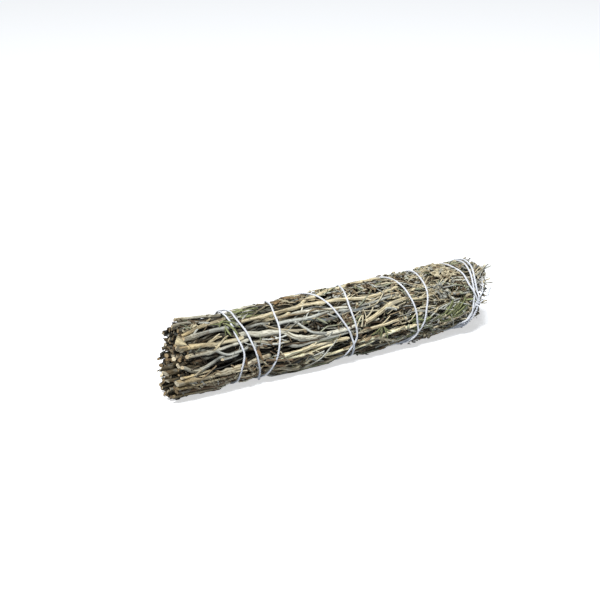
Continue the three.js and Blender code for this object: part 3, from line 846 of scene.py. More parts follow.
# Litter gathers in some places and leaves dark hollows in others.
CLUMP_ALONG, CLUMP_ROUND = 5, 8        # in spots
TRIES = 14                             # at a free place, for each piece of litter
coarse = chance.random((len(spot_x) // CLUMP_ALONG + 2, SPOTS_ROUND // CLUMP_ROUND))
clumps = np.empty(outline.shape)
for row in range(len(spot_x)):
    low, part = divmod(row / CLUMP_ALONG, 1)
    level = coarse[int(low)] * (1 - part) + coarse[int(low) + 1] * part
    closed = np.append(level, level[0])
    clumps[row] = np.interp(np.arange(SPOTS_ROUND) / CLUMP_ROUND, np.arange(len(closed)), closed)


def litter_tones(count, odds, low, high, shade=1.0):
    """Litter colours by their odds, each a little lighter or darker, times any painted shade."""
    colour = LITTER[chance.choice(6, count, p=odds)]
    return colour * (chance.uniform(low, high, count) * shade)[:, None]


def resting(at, above, deepest, highest):
    """The radius of bits on what lies there, no deeper under the outline and no higher than said."""
    return np.clip(skin[at] + above, outline[at] - deepest, outline[at] + highest)


def free_spots(count, where, least_gap, least_clump, longest):
    """Places along and round the bundle where there is still room under its outline."""
    tries = count * TRIES
    x = chance.uniform(*where, tries)
    angle = chance.uniform(0, 360, tries)
    at = spot(x, angle)
    free = (outline[at] - skin[at] > least_gap) & (clumps[at] > least_clump)
    free &= (x + longest / 2 < tip_end(angle) + 4) & (x - longest / 2 > cut_end(angle) - 4)
    free &= chance.random(tries) < 0.2 + 0.8 * ease(x, 40, 80)
    return x[free][:count], angle[free][:count]


def lay_litter(kind, x, angle, radial, heading, tone, proud=LEAF_THICK):
    """Lays pieces of one kind of litter, each drawn a little differently."""
    shape, length, width, pitch, sway, curl, kinks, turn = KINDS_OF_LITTER[kind]
    count = len(x)
    lay_bits(twig_lines if kind in ("twig", "wisp") else leaf_lines, x, angle, radial,
             chance.uniform(*length, count), chance.uniform(*width, count), heading, tone, shape,
             pitch=chance.normal(0, pitch, count), sway=chance.normal(0, sway, count),
             curl=chance.normal(0, curl, count), turn=chance.normal(0, turn, count),
             kinks=kinks, proud=proud, fresh=chance.random(count))


SCATTERINGS, LITTER_DEPTH = 8, 5.0
MIXED_ODDS = (0.2, 0.2, 0.2, 0.15, 0.15, 0.1)
PALE_ODDS = (0.40, 0.13, 0.05, 0.27, 0.11, 0.04)


def litter(kind, total, where, least_gap, least_clump, spread=40, odds=MIXED_ODDS):
    """Scatters one kind of litter in rounds, so that later pieces lie on earlier ones."""
    for _ in range(SCATTERINGS):
        longest = KINDS_OF_LITTER[kind][1][1]
        x, angle = free_spots(total // SCATTERINGS, where, least_gap, least_clump, longest)
        count = len(x)
        at = spot(x, angle)
        radial = resting(at, LEAF_THICK, LITTER_DEPTH, -0.05)
        # Painted shade: deep litter is darker, less so low in front and towards the tips.
        sunk = buried(x, outline[at] - radial, 1.5, 1.1)
        darkest = (0.9 - 0.35 * ease(x, 135, 165)) * (1 - 0.2 * ease(angle, *TABLE_ANGLES))
        tone = litter_tones(count, odds, 0.65, 1.15, 1 - darkest * sunk)
        heading = chance.normal(0, spread, count) + 180 * (chance.random(count) < 0.3)
        lay_litter(kind, x, angle, radial, heading, tone)


litter("leaf", 800, (0, 205), 3.0, 0.30)
litter("twig", 260, (0, 200), 1.8, 0.0, spread=24)
litter("leaf", 700, (0, 205), 1.8, 0.48)
litter("leaf", 1000, (138, 206), 0.9, 0.0, spread=50, odds=(0.26, 0.22, 0.10, 0.22, 0.12, 0.08))
litter("twig", 500, (2, 200), 0.5, 0.1, spread=26, odds=PALE_ODDS)
litter("crumb", 1700, (132, 208), 0.3, 0.1, spread=70, odds=PALE_ODDS)
litter("husk", 260, (140, 206), 0.2, 0.3, spread=60, odds=(0.40, 0.06, 0.02, 0.40, 0.09, 0.03))
litter("leaf", 300, (20, 150), 0.7, 0.6)
litter("crumb", 700, (-1, 130), 1.0, 0.5, spread=70)
litter("wisp", 260, (16, 150), 0.8, 0.0, spread=9, odds=(0.30, 0.30, 0.12, 0.20, 0.04, 0.04))
litter("wisp", 150, (6, 200), 0.2, 0.0, spread=14, odds=PALE_ODDS)
litter("wisp", 60, (140, 200), 0.0, 0.0, spread=20, odds=PALE_ODDS)

# The cut end is ragged: between the stems it is full of snapped bits and curls, mostly in the dark.
for kind, count, inside in (("crumb", 620, 0), ("leaf", 260, 2), ("twig", 110, 7)):
    angle = chance.uniform(0, 360, count)
    radial = (BUTT_RADIUS - 0.6) * np.sqrt(chance.uniform(0.02, 1, count))
    x = how_outer(BUTT_RADIUS - radial) * cut_end(angle) + chance.uniform(0, 8, count) + inside
    # Painted shade: their colours are darkened a long way, for the dark between the stems.
    tone = litter_tones(count, (0.14, 0.34, 0.26, 0.10, 0.08, 0.08), 0.02, 0.70)
    heading = chance.uniform(0, 360, count) if kind == "crumb" else chance.normal(0, 45, count)
    lay_litter(kind, x, angle, radial, heading, tone)

# Straws and husks stand out past the last turn on top, where nothing holds them. A dozen of them
# make a spray beside the knot.
STRAWS, IN_SPRAY, SPRAY_ANGLE = 40, 12, 37
spray = np.arange(STRAWS) < IN_SPRAY
angle = np.where(spray, SPRAY_ANGLE, chance.uniform(-70, 100, STRAWS))
x = chance.uniform(193, 200, STRAWS)
angle = angle + chance.normal(0, 4, STRAWS)
radial = np.where(spray, TIP_RADIUS - 0.6, chance.uniform(12, TIP_RADIUS - 0.5, STRAWS))
length = chance.uniform(5, 10, STRAWS) * np.where(spray, 1.5, 1)
width = chance.uniform(0.6, 1.2, STRAWS)
heading = chance.normal(0, 16, STRAWS) - 34 * spray
tone = litter_tones(STRAWS, (0.6, 0.05, 0, 0.35, 0, 0), 0.9, 1.15)
lay_bits(twig_lines, x, angle, radial, length, width, heading, tone, TWIG_SHAPE, proud=1.0, kinks=7,
         pitch=chance.uniform(-4, 12, STRAWS), from_foot=True, fresh=chance.random(STRAWS))

# Bits caught crosswise: place along and round, their spread in both, kind, number, heading and odds.
CAUGHT = [
    (115, 12, 30, 16, "leaf", 50, 60, (0.25, 0.3, 0.15, 0.2, 0.05, 0.05)),
    (48, 69, 22, 12, "twig", 12, 8, (0.1, 0.3, 0.2, 0.4, 0, 0)),
    (50, 70, 24, 12, "leaf", 12, 60, (0, 0.3, 0.5, 0.2, 0, 0)),
    (101, 66, 8, 24, "leaf", 22, 70, (0, 0.4, 0.5, 0.1, 0, 0)),
    (66, -2, 16, 20, "leaf", 26, 20, (0.3, 0.5, 0.2, 0, 0, 0)),
    (111, 62, 14, 12, "twig", 9, -35, (0.6, 0.2, 0, 0.2, 0, 0)),
    (171, 57, 8, 12, "crumb", 40, 60, (0.2, 0, 0, 0.8, 0, 0)),
    (167, 43, 7, 9, "crumb", 26, 60, (0.2, 0, 0, 0.8, 0, 0)),
    (111, 39, 5, 6, "crumb", 8, 60, (0.2, 0, 0, 0.8, 0, 0)),
    (176, 4, 22, 44, "husk", 90, 30, (0.7, 0.1, 0, 0.2, 0, 0)),
    (7, 14, 7, 9, "leaf", 9, 10, (0.1, 0.1, 0, 0.3, 0.3, 0.2)),
    (20, 110, 48, 26, "leaf", 44, 50, (0.35, 0.45, 0.1, 0.1, 0, 0)),
    (12, 112, 30, 24, "crumb", 40, 60, (0.5, 0.3, 0.1, 0.1, 0, 0)),
    (42, 106, 44, 22, "twig", 18, 10, (0.35, 0.4, 0.15, 0.1, 0, 0)),
]
for x0, angle0, x_spread, angle_spread, kind, count, heading, odds in CAUGHT:
    x = x0 + x_spread * chance.uniform(-0.5, 0.5, count)
    angle = angle0 + angle_spread * chance.uniform(-0.5, 0.5, count)
    radial = resting(spot(x, angle), 0.1, 1.2, 0.1)
    tone = litter_tones(count, odds, 0.6, 1.1)
    lay_litter(kind, x, angle, radial, heading + chance.normal(0, 28, count), tone, proud=0.4)

# A flat splinter stands across the end of the split stem, and strips of bark have peeled off here
# and there: place along and round, heading, length, width and tone.
SPLINTERS = [
    (-5.5, 37, 34, 6.4, 6.2, (0.82, 0.77, 0.63)), (-4.5, 47, 10, 5.0, 2.6, (0.74, 0.66, 0.52)),
    (40.5, 76, 62, 8.5, 2.4, (0.58, 0.47, 0.34)), (62.0, 4, -30, 9.0, 2.6, (0.66, 0.55, 0.40)),
    (70.0, -8, 40, 8.0, 2.4, (0.72, 0.60, 0.44)), (33.0, 84, 80, 6.0, 1.8, (0.50, 0.40, 0.28)),
]
CHIP_SHAPE = (0.96, 1.0, 0.82, 0.6, 0.38, 0.14)
for x, angle, heading, length, width, tone in SPLINTERS:
    lay_bits(leaf_lines, np.array([x]), angle, bound_radius(x, angle) + 0.2, length, width, heading,
             paint(*tone), CHIP_SHAPE, pitch=2, proud=0.9, from_foot=True)

# Leaves that are still green, one by one: place along and round, heading, length, width and sway.
GREEN_LEAVES = [
    (27, 19, 104, 14.0, 1.4, -20), (26.5, 24, 62, 11.5, 1.4, 40), (27, 19, 166, 9.5, 1.4, 60),
    (27, 20, 40, 8.5, 1.4, 60), (27, 18, 140, 7.0, 1.4, -50), (26, 30, 84, 7.0, 1.3, -40),
    (172, 98, -44, 12.0, 1.1, 4), (173, 96, -38, 13.0, 1.0, -6), (174, 98, -30, 12.0, 1.1, 8),
    (171, 95, -52, 11.0, 1.0, -10), (175, 97, -24, 12.0, 1.0, 12), (176, 99, -18, 10.5, 1.1, -5),
    (177, 97, -34, 10.5, 1.0, 6), (170, 92, -58, 9.5, 0.9, 14), (173, 92, -46, 11.5, 1.0, -12),
    (176, 92, -50, 9.0, 0.9, 8), (168, 90, -66, 8.0, 0.9, -20), (179, 94, -30, 9.0, 1.0, 10),
    (168, 102, -14, 10.0, 1.0, 16), (165, 100, 6, 9.0, 1.0, -14), (160, 98, -36, 8.5, 1.0, 20),
    (122, 84, 150, 8.0, 1.2, 30), (123, 84, 100, 9.0, 1.3, -14), (124, 84, 70, 9.5, 1.2, 10),
    (124, 85, 40, 7.5, 1.1, -30), (123, 83, 125, 6.5, 1.0, 20),
    (166, 91, -34, 12.0, 1.1, 6), (167, 94, -26, 12.5, 1.1, -8), (165, 96, -20, 11.0, 1.0, 8),
    (168, 88, -46, 11.0, 1.1, -6), (170, 86, -54, 10.0, 1.0, 10), (164, 93, -30, 10.0, 1.0, -10),
]
FIRST_TUFT, TUFT_LIFT = 30, 0.8        # it ends this far along, and stands clear of the stems
x, angle, heading, length, width, sway = np.array(GREEN_LEAVES, float).T
count = len(x)
lift = TUFT_LIFT * (x < FIRST_TUFT)
tone = FRESH_GREEN * chance.uniform(0.8, 1.3, (count, 1))
lay_bits(leaf_lines, x, angle, outline[spot(x, angle)] - 0.1 + lift, length, width, heading, tone,
         LEAF_SHAPE, pitch=chance.normal(3, 4, count), sway=sway, curl=chance.normal(0, 12, count),
         turn=chance.normal(0, 0.35, count), proud=0.5 + lift, from_foot=True)

# Looser tufts: place along and round, their spread in both, how many leaves, and their heading.
TUFTS = [
    (42, 8, 9, 14, 22, 10), (36, 2, 6, 10, 8, -10), (32, 20, 5, 9, 6, 20),
    (150, 86, 8, 10, 13, -30), (152, 101, 9, 9, 13, -10), (148, 112, 7, 6, 7, 0),
    (186, 80, 6, 8, 5, -40), (120, 300, 12, 12, 16, 0), (60, 230, 10, 10, 14, 0),
    (185, 330, 10, 12, 16, 15), (190, 215, 9, 12, 16, 0),
]
for x0, angle0, x_spread, angle_spread, count, heading in TUFTS:
    x = chance.normal(x0, x_spread / 2, count)
    angle = chance.normal(angle0, angle_spread / 2, count)
    radial = resting(spot(x, angle), 0.1, 1.5, 0.0)
    dried = chance.random((count, 1)) < 0.3
    tone = np.where(dried, ASH, FRESH_GREEN) * chance.uniform(0.7, 1.2, (count, 1))
    length, width = chance.uniform(6, 11, count), chance.uniform(0.9, 1.5, count)
    lay_bits(leaf_lines, x, angle, radial, length, width, heading + chance.normal(0, 24, count), tone,
             LEAF_SHAPE, pitch=chance.normal(4, 6, count), sway=chance.normal(0, 35, count),
             curl=chance.normal(0, 20, count), turn=chance.normal(0, 0.5, count), proud=0.4)


LEAF_THINNESS = 0.26
OVER_TABLE = 0.02 * MM
CELL_ASPECT = 2.5                      # length to width of the UV map's cells, one to a face


class Growth(Recipe):
    """A Geometry Nodes tree with named inputs."""

    def __init__(self, name, inputs, output):
        self.tree = bpy.data.node_groups.new(name, "GeometryNodeTree")
        for key, (kind, value) in inputs.items():
            socket = self.new_socket(key, "INPUT", kind)
            if value is not None:
                socket.default_value = value
        self.new_socket(output, "OUTPUT", "Geometry")
        given = self.tree.nodes.new("NodeGroupInput").outputs
        self.given = {key: Wire(self, given[key]) for key in inputs}

    def new_socket(self, name, side, kind):
        socket_type = "NodeSocket" + kind
        return self.tree.interface.new_socket(name, in_out=side, socket_type=socket_type)

    def scale(self, vector, factor):
        inputs = {"Vector": vector, "Scale": factor}
        return self.add("ShaderNodeVectorMath", {"operation": "SCALE"}, inputs)

    def split(self, vector):
        inputs = {"Vector": vector}
        return [self.add("ShaderNodeSeparateXYZ", None, inputs, axis) for axis in range(3)]

    def vector(self, x, y, z):
        return self.add("ShaderNodeCombineXYZ", None, {"X": x, "Y": y, "Z": z})

    def read(self, name, kind="FLOAT"):
        return self.add("GeometryNodeInputNamedAttribute", {"data_type": kind}, {"Name": name})

    def store(self, geometry, name, value, kind="FLOAT", domain="POINT"):
        settings = {"data_type": kind, "domain": domain}
        inputs = {"Geometry": geometry, "Name": name, "Value": value}
        return self.add("GeometryNodeStoreNamedAttribute", settings, inputs)

    def move(self, geometry, **how):
        return self.add("GeometryNodeSetPosition", None, {"Geometry": geometry, **how})

    def lines_of(self, name):
        return self.add("GeometryNodeObjectInfo", None, {"Object": self.given[name]}, "Geometry")

    def join(self, *parts):
        return self.add("GeometryNodeJoinGeometry", None, {0: list(parts)})

    def tilted(self, curve, tilt):
        """Turns each section about its line, starting from the side that faces out of the bundle."""
        curve = self.add("GeometryNodeSetCurveNormal", {"mode": "FREE"},
                         {"Curve": curve, "Normal": self.read("outward", "FLOAT_VECTOR")})
        return self.add("GeometryNodeSetCurveTilt", None, {"Curve": curve, "Tilt": tilt})

    def ring(self, points):
        inputs = {"Resolution": points, "Radius": 1.0}
        return self.add("GeometryNodeCurvePrimitiveCircle", None, inputs)

    def tube(self, curve, ring):
        mesh = self.add("GeometryNodeCurveToMesh", None, {
            "Curve": curve, "Profile Curve": ring, "Scale": self.read("thick"), "Fill Caps": True})
        return self.smooth(mesh, True)

    def smooth(self, mesh, smooth, where=True):
        return self.add("GeometryNodeSetShadeSmooth", None,
                        {"Geometry": mesh, "Selection": where, "Shade Smooth": smooth})

    def made_of(self, mesh, material):
        return self.add("GeometryNodeSetMaterial", None, {"Geometry": mesh, "Material": material})

    def finish(self, geometry):
        real = self.add("GeometryNodeRealizeInstances", None, {"Geometry": geometry})
        self.tree.links.new(real.socket, self.tree.nodes.new("NodeGroupOutput").inputs[0])
        return self.tree

    def sweep(self, lines, sides, material, roll=None):
        """Sweeps lines with a round section, or with the rolled one of a leaf."""
        curve = self.add("GeometryNodeMeshToCurve", None, {"Mesh": lines})
        curve = self.tilted(curve, self.read("turn"))
        curve = self.store(curve, "ahead", self.add("GeometryNodeInputTangent"), "FLOAT_VECTOR")
        ring = self.ring(sides)
        if roll is not None:
            thin, wide, _ = self.split(self.add("GeometryNodeInputPosition"))
            rolled = self.math("MULTIPLY_ADD", wide * wide, roll, thin * LEAF_THINNESS)
            ring = self.move(ring, Position=self.vector(rolled, wide, 0.0))
        ring = self.store(ring, "section", self.add("GeometryNodeInputPosition"), "FLOAT_VECTOR")
        mesh = self.tube(curve, ring)
        section = self.scale(self.read("section", "FLOAT_VECTOR"), self.read("thick"))
        outward, beside, _ = self.split(section)
        grain = self.vector(self.read("along"), outward, beside)
        mesh = self.store(mesh, "grain", grain, "FLOAT_VECTOR")
        slanted = outward * self.read("slant")
        mesh = self.move(mesh, Offset=self.scale(self.read("ahead", "FLOAT_VECTOR"), slanted))
        # Side faces have four corners, so a face with more is a cut one.
        is_cut = self.add("FunctionNodeCompare", {"data_type": "INT", "operation": "GREATER_THAN"},
                          {2: self.add("GeometryNodeInputMeshFaceNeighbors"), 3: 4})
        mesh = self.store(mesh, "cut", is_cut, domain="FACE")
        return self.made_of(self.smooth(mesh, False, is_cut), material)


def sprig_tree(bark, leaf):
    """Grows one sprig from its stem, twig and leaf lines."""
    grow = Growth("grow_sprig", {
        "Stems": ("Geometry", None), "Twigs": ("Object", None), "Leaves": ("Object", None),
        "Stem sides": ("Int", 9), "Twig sides": ("Int", 6), "Leaf sides": ("Int", 4),
        "Leaf roll": ("Float", 0.5), "Bark ridges": ("Float", 0.42),
    }, "Sprig")
    given = grow.given
    wood = grow.join(grow.sweep(grow.lines_of("Twigs"), given["Twig sides"], bark),
                     grow.sweep(given["Stems"], given["Stem sides"], bark))
    stretched = grow.stretch(grow.read("grain", "FLOAT_VECTOR"), (200.0, 1000.0, 1000.0))
    ridges = grow.noise(stretched, 1.0, 2.0, 0.5)
    height = (ridges - 0.5) * given["Bark ridges"] * grow.read("thick")
    wood = grow.move(wood, Offset=grow.scale(grow.add("GeometryNodeInputNormal"), height))
    leaves = grow.sweep(grow.lines_of("Leaves"), given["Leaf sides"], leaf, given["Leaf roll"])
    return grow.finish(grow.join(leaves, wood))


def bark_material():
    bark = Recipe(bpy.data.materials.new("dry_bark"))
    grain = bark.attribute("grain")
    tone = bark.attribute("tone", "Color")
    cut = bark.attribute("cut", "Fac")
    fresh = bark.attribute("fresh", "Fac")
    fibres = bark.noise(bark.stretch(grain, (60.0, 1500.0, 1500.0)), 1.0, 4.0)
    patches = bark.noise(bark.stretch(grain, (120.0, 240.0, 240.0)), 1.0)
    specks = bark.noise(bark.stretch(grain, (700.0, 1200.0, 1200.0)), 1.0, 2.0)
    # The bark's side: dark and pale fibres, grey weathered and brown patches, and dark specks.
    # Dark fibres lie in the bump's grooves, pale ones on its ridges: partly painted shade and
    # highlight.
    side = bark.mix(bark.step(fibres, 0.54, 0.36), tone, (0.32, 0.29, 0.25), "MULTIPLY")
    side = bark.mix(bark.step(fibres, 0.52, 0.64) * 0.5, side, tone, "SCREEN")
    side = bark.stain(side, patches, 0.50, 0.66, 0.5, 0.58, 0.58, 0.54)
    side = bark.stain(side, patches, 0.43, 0.30, 0.65, 0.38, 0.31, 0.23)
    side = bark.stain(side, specks, 0.60, 0.70, 0.6, 0.22, 0.19, 0.15)
    # A cut face: a thin dark rim of bark, pale wood with darker rays and specks, and a brown pith.
    off_middle = bark.add("ShaderNodeVectorMath", {"operation": "LENGTH"},
                          {0: bark.attribute("section")}, "Value")
    stops = [(0.0, paint(0.34, 0.28, 0.21)), (0.6, paint(0.72, 0.63, 0.48)),
             (1.0, paint(0.96, 0.91, 0.79))]
    wood = bark.add("ShaderNodeValToRGB", {"stops": stops}, {"Fac": fresh})
    rays = bark.noise(bark.stretch(grain, (0.0, 700.0, 3200.0)), 1.0, 2.0)
    wood = bark.stain(wood, rays, 0.50, 0.64, 0.6, 0.52, 0.42, 0.28)
    wood = bark.stain(wood, off_middle, 0.30, 0.16, 0.7 - 0.6 * fresh, 0.45, 0.35, 0.24)
    wood = bark.stain(wood, off_middle, 0.80, 0.90, 0.9 - 0.6 * fresh, 0.30, 0.24, 0.18)
    wood = bark.stain(wood, specks, 0.52, 0.66, 0.4, 0.40, 0.32, 0.22)
    return bark.finish(bark.add("ShaderNodeBsdfPrincipled", None, {
        "Base Color": bark.mix(cut, side, wood),
        "Roughness": 0.95 - 0.2 * bark.step(fibres, 0.4, 0.65),
        "Specular IOR Level": 0.25,
        "Normal": bark.bump(fibres + 0.6 * specks, 0.22 * MM, 0.9),
    }))


def leaf_material():
    leaf = Recipe(bpy.data.materials.new("dry_leaf"))
    grain = leaf.attribute("grain")
    tone = leaf.attribute("tone", "Color")
    veins = leaf.noise(leaf.stretch(grain, (350.0, 1800.0, 1800.0)), 1.0)
    blotch = leaf.noise(leaf.stretch(grain, (420.0, 420.0, 420.0)), 1.0, 2.0, 0.5)
    dark = leaf.mix(leaf.step(veins, 0.58, 0.40) * 0.8, tone, (0.45, 0.42, 0.38), "MULTIPLY")
    return leaf.finish(leaf.add("ShaderNodeBsdfPrincipled", None, {
        "Base Color": leaf.stain(dark, blotch, 0.55, 0.72, 0.35, 0.78, 0.75, 0.64),
        "Roughness": 0.8,
        "Specular IOR Level": 0.3,
        "Normal": leaf.bump(veins, 0.15 * MM, 0.8),
    }))


def unroll(mesh):
    """A UV map for baking, on which each stem, leaf and hair lies flat, in strips side by side."""
    strand = numbers(mesh.attributes["strand"].data, "value")
    start, size = numbers(mesh.polygons, "loop_start"), numbers(mesh.polygons, "loop_total")
    tube_of_point = np.cumsum(np.diff(strand, prepend=strand[0]) != 0)
    tube = tube_of_point[numbers(mesh.loops, "vertex_index")[start]]
    # A tube of n points round has n more points than it has side faces, and two ends.
    points, faces = np.bincount(tube_of_point), np.bincount(tube)
    sides = points - faces + 2
    rings = points // sides
    local = np.arange(len(size)) - (np.cumsum(faces) - faces)[tube]
    end = local - ((rings - 1) * sides)[tube]
    ring, side = np.divmod(local, sides[tube])
    ring, side = np.where(end < 0, (ring, side), ((rings - 1)[tube] + end, 0 * end))
    columns = int(math.sqrt(len(size) / CELL_ASPECT))
    height, column, base = 0, 0 * points, 0 * points
    for kind in np.unique(sides):
        own = sides == kind
        column[own] = np.cumsum(rings[own] + 1) - rings[own] - 1
        base[own] = height
        height += int((rings[own] + 1).sum() // columns + 1) * kind
    down, right = np.divmod(column[tube] + ring, columns)
    face = np.repeat(np.arange(len(size)), size)
    turn = np.arange(len(face)) - start[face]
    # A side face fills its cell, and an end is drawn round in the column after its tube's.
    swing = 2 * np.pi * (turn + 0.5) / size[face]
    u = np.where(end[face] < 0, turn >= 2, 0.5 + 0.5 * np.cos(swing))
    round_v = (0.5 + 0.5 * np.sin(swing)) * sides[tube][face]
    v = np.where(end[face] < 0, (turn == 1) | (turn == 2), round_v)
    u = (right[face] + u) / columns
    v = ((base[tube] + down * sides[tube] + side)[face] + v) / height
    layer = mesh.uv_layers.new(name="OFBake")
    layer.uv.foreach_set("vector", np.stack([u, v], axis=1).astype(np.float32).ravel())


def grow_piece(node, slot, tree, lines, **more):
    """Runs a tree on lines and keeps the mesh as the dressed piece of a solid node."""
    piece = lines.to_object(node + "_dressed")
    inputs = {key: extra.to_object(f"{node}_{key}_lines") for key, extra in more.items()}
    modifier = piece.modifiers.new("grow", "NODES")
    modifier.node_group = tree
    for item in tree.interface.items_tree:
        if item.in_out == "INPUT" and item.name in inputs:
            modifier[item.identifier] = inputs[item.name]
    bpy.context.view_layer.update()
    depsgraph = bpy.context.evaluated_depsgraph_get()
    mesh = bpy.data.meshes.new_from_object(
        piece.evaluated_get(depsgraph), preserve_all_data_layers=True, depsgraph=depsgraph)
    piece.modifiers.remove(modifier)
    for extra in inputs.values():
        bpy.data.objects.remove(extra)
    # What the bundle's weight presses on the table is flat there.
    places = numbers(mesh.vertices, "co", 3, np.float32)
    places[2::3] = np.maximum(places[2::3], OVER_TABLE)
    mesh.vertices.foreach_set("co", places)
    unroll(mesh)
    piece.data = mesh
    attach(piece, "root")
    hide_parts(node)


grow_sprig = sprig_tree(bark_material(), leaf_material())
slot_of = {part["node"]: part["material_slot"] for part in frame["record"]["subparts"]}
for name, stem_set, twig_set, leaf_set in zip(sprig_names, stem_lines, twig_lines, leaf_lines):
    grow_piece(name, slot_of[name], grow_sprig, stem_set, Twigs=twig_set, Leaves=leaf_set)


# --------------------------------------------------------------------------------------------------
# Thread. One length of white cotton, three plies twisted together, wound down the bundle and back
# under tension, then tied at the tips. Where two turns cross, the later one rides over the earlier,
# and both ends are frayed.
# --------------------------------------------------------------------------------------------------
CROSSING_REACH = 3.2
CLIMB = THREAD_DIAMETER * 0.85
THREAD_SINK = 0.42                     # of a diameter, from the outline to the thread's middle
KNOT_ALONG, KNOT_ANGLE, KNOT_LIFT = 193.0, 81.0, 1.5
TAILS = [(50, 199, 1.6), (66, 202, 2.2)]
COTTON = np.array(paint(0.94, 0.95, 0.97))
TURN_RADIUS = 0.61                     # of the thread drawn tight, in a turn
SHIVER = 0.16
HAIRINESS, HAIR_RADIUS = 0.3, 0.035


def lift_at(turned, along):
    """How far a turn is lifted by the earlier turns under it."""
    lift = 0.0
    earlier = turned % 360
    while earlier < turned - 180:
        if earlier >= WINDING[0][0]:
            laid = float(thread_along(np.array(earlier)))
            if abs(laid - along) < CROSSING_REACH:
                climb = 1 - float(ease(abs(laid - along), THREAD_DIAMETER, CROSSING_REACH))
                lift = max(lift, climb * (CLIMB + lift_at(earlier, laid)))
        earlier += 360
    return lift


def smoothed(values, reach):
    """Each value becomes the mean of those within reach of it."""
    width = 2 * reach + 1
    return np.convolve(np.pad(values, reach, mode="edge"), np.ones(width) / width, "valid")


def thread_run(stops):
    """The thread's middle over the winding's stops, and its angle there."""
    turned = np.arange(stops[0][0], stops[-1][0] + 1, 2.0)
    along = through(stops, turned)
    lift = smoothed(np.array([lift_at(t, a) for t, a in zip(turned, along)]), 1)
    shiver = smoothed(np.cumsum(chance.normal(0, SHIVER, len(turned))), 4)
    shiver -= smoothed(shiver, 20)
    radial = bound_radius(along, turned) + THREAD_DIAMETER * THREAD_SINK + lift
    return to_table(along + shiver, turned, radial, THREAD_DIAMETER / 2 + 0.1), turned % 360


def round_path(stops, size):
    """A smooth line through (angle, along, lift) places over the outline."""
    t = np.linspace(0, len(stops) - 1, size)
    angle, along, lift = (through(list(enumerate(values)), t) for values in zip(*stops))
    return to_table(along, angle, bound_radius(along, angle) + lift), angle


thread_lines = Lines()
fibre_lines = Lines()
for stops in (WINDING, LAST_TURN):
    points, angle = thread_run(stops)
    thread_lines.add(points[None], angle, TURN_RADIUS, COTTON)
    # Short cotton hairs stand off the thread.
    count = int(len(points) * HAIRINESS)
    at = chance.integers(0, len(points), count)
    reach_out = chance.uniform(0.3, 1.2, (count, 1, 1)) * np.linspace(0, 1, 4)[None, :, None]
    aimed = chance.normal(0, 1, (count, 1, 3)) + chance.normal(0, 0.5, (count, 4, 3))
    aimed /= np.linalg.norm(aimed, axis=2, keepdims=True)
    hairs = points[at][:, None, :] + aimed * (reach_out + THREAD_DIAMETER * 0.35)
    hairs[..., 2] = np.maximum(hairs[..., 2], 0.1)
    fibre_lines.add(hairs, angle[at][:, None], HAIR_RADIUS, COTTON)

# The knot: two tight turns round the thread where its ends meet, and each end led off to fray.
KNOT_TURNS, KNOT_RADIUS, KNOT_WIDTH, KNOT_POINTS = 2, 0.95, 3.2, 50
turns = np.linspace(0, KNOT_TURNS * 2 * np.pi, KNOT_POINTS)
knot_base = float(bound_radius(KNOT_ALONG, KNOT_ANGLE)) + KNOT_LIFT
beside = np.linspace(-KNOT_WIDTH / 2, KNOT_WIDTH / 2, KNOT_POINTS)
knot = to_table(KNOT_ALONG + KNOT_RADIUS * np.sin(turns),
                KNOT_ANGLE + 3 + np.degrees(beside / knot_base),
                knot_base + KNOT_RADIUS * np.cos(turns))
thread_lines.add(knot[None], KNOT_ANGLE, THREAD_DIAMETER * 0.46, COTTON)
TAIL_POINTS, FRAYED = 16, 30           # points along each end, and fibres that come out of it
for number, (tail_angle, tail_along, tail_lift) in enumerate(TAILS):
    first_angle = KNOT_ANGLE - 4 + 8 * number
    tail_path = [(first_angle, KNOT_ALONG + 0.6, KNOT_LIFT),
                 (first_angle * 0.6 + tail_angle * 0.4, KNOT_ALONG + 4 + 2 * number, 2.2),
                 (tail_angle, tail_along, tail_lift)]
    points, angle = round_path(tail_path, TAIL_POINTS)
    thinning = np.linspace(0.85, 0.3, TAIL_POINTS) * TURN_RADIUS
    thread_lines.add(points[None], angle, thinning, COTTON)
    ahead = points[-1] - points[-5]
    ahead /= np.linalg.norm(ahead)
    t = np.linspace(0, 1, 7)[None, :, None]
    foot = points[chance.integers(5, TAIL_POINTS - 1, FRAYED)][:, None, :]
    bend = np.clip(chance.normal(0, 0.34, (FRAYED, 1, 3)), -0.6, 0.6)
    fibres_out = foot + chance.uniform(2.5, 6.5, (FRAYED, 1, 1)) * t * (ahead + bend * t)
    fibre_lines.add(fibres_out, angle[-1], np.linspace(0.09, 0.04, 7), COTTON)


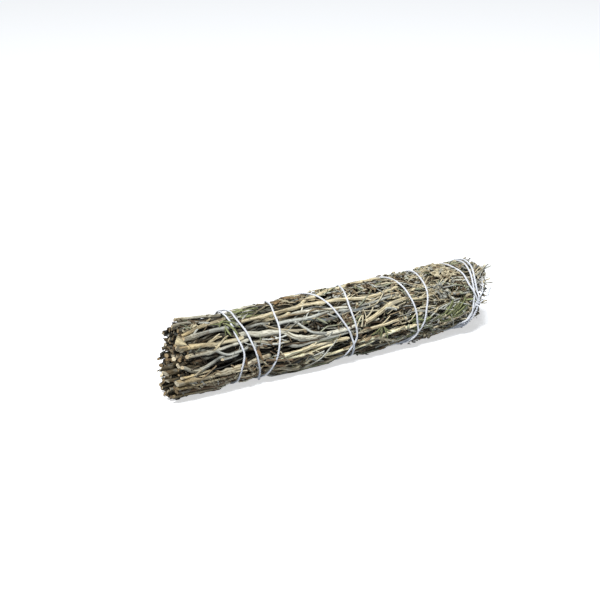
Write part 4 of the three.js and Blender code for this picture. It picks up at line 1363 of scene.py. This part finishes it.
def thread_tree(cotton):
    """Twists the thread along its lines, and sweeps the loose fibres beside it."""
    spin = Growth("twist_thread", {
        "Lines": ("Geometry", None), "Fibres": ("Object", None), "Twist length": ("Float", 4.4 * MM),
        "Step": ("Float", 0.6 * MM), "Ply depth": ("Float", 0.32), "Ply points": ("Int", 15),
    }, "Thread")
    given = spin.given
    line = spin.add("GeometryNodeMeshToCurve", None, {"Mesh": given["Lines"]})
    line = spin.add("GeometryNodeResampleCurve", {"mode": "LENGTH"},
                    {"Curve": line, "Length": given["Step"]})
    length = spin.add("GeometryNodeSplineParameter", output="Length")
    line = spin.tilted(line, length / given["Twist length"] * (2 * math.pi))
    # Three plies: each is a hump round the section, and sinks between its neighbours.
    place = spin.add("GeometryNodeInputPosition")
    x, y, _ = spin.split(place)
    hump = spin.math("ABSOLUTE", spin.math("COSINE", spin.math("ARCTAN2", y, x) * 1.5))
    ring = spin.store(spin.ring(given["Ply points"]), "ply", hump)
    size = spin.math("MULTIPLY_ADD", spin.read("ply"), given["Ply depth"], 1.05 - given["Ply depth"])
    ring = spin.move(ring, Position=spin.scale(place, size))
    mesh = spin.made_of(spin.tube(line, ring), cotton)
    hairs = spin.store(spin.sweep(spin.lines_of("Fibres"), 3, cotton), "ply", 1.0)
    return spin.finish(spin.join(mesh, hairs))


def cotton_material():
    cotton = Recipe(bpy.data.materials.new("white_cotton"))
    spot_on = cotton.add("ShaderNodeTexCoord", output="Object")
    fibres = cotton.noise(spot_on, 2600.0)
    soil = cotton.noise(spot_on, 60.0, 2.0, 0.5)
    ply = cotton.attribute("ply", "Fac")
    white = cotton.stain(paint(0.92, 0.93, 0.95), soil, 0.45, 0.75, 0.4, 0.84, 0.84, 0.84)
    return cotton.finish(cotton.add("ShaderNodeBsdfPrincipled", None, {
        # Painted shade: the grooves between the plies are bluish grey.
        "Base Color": cotton.stain(white, ply, 0.6, 0.15, 0.75, 0.60, 0.66, 0.78),
        "Roughness": 0.9,
        "Specular IOR Level": 0.2,
        "Normal": cotton.bump(fibres, 0.12 * MM, 0.7),
    }))


grow_piece("binding_thread", "cotton_thread", thread_tree(cotton_material()), thread_lines,
           Fibres=fibre_lines)
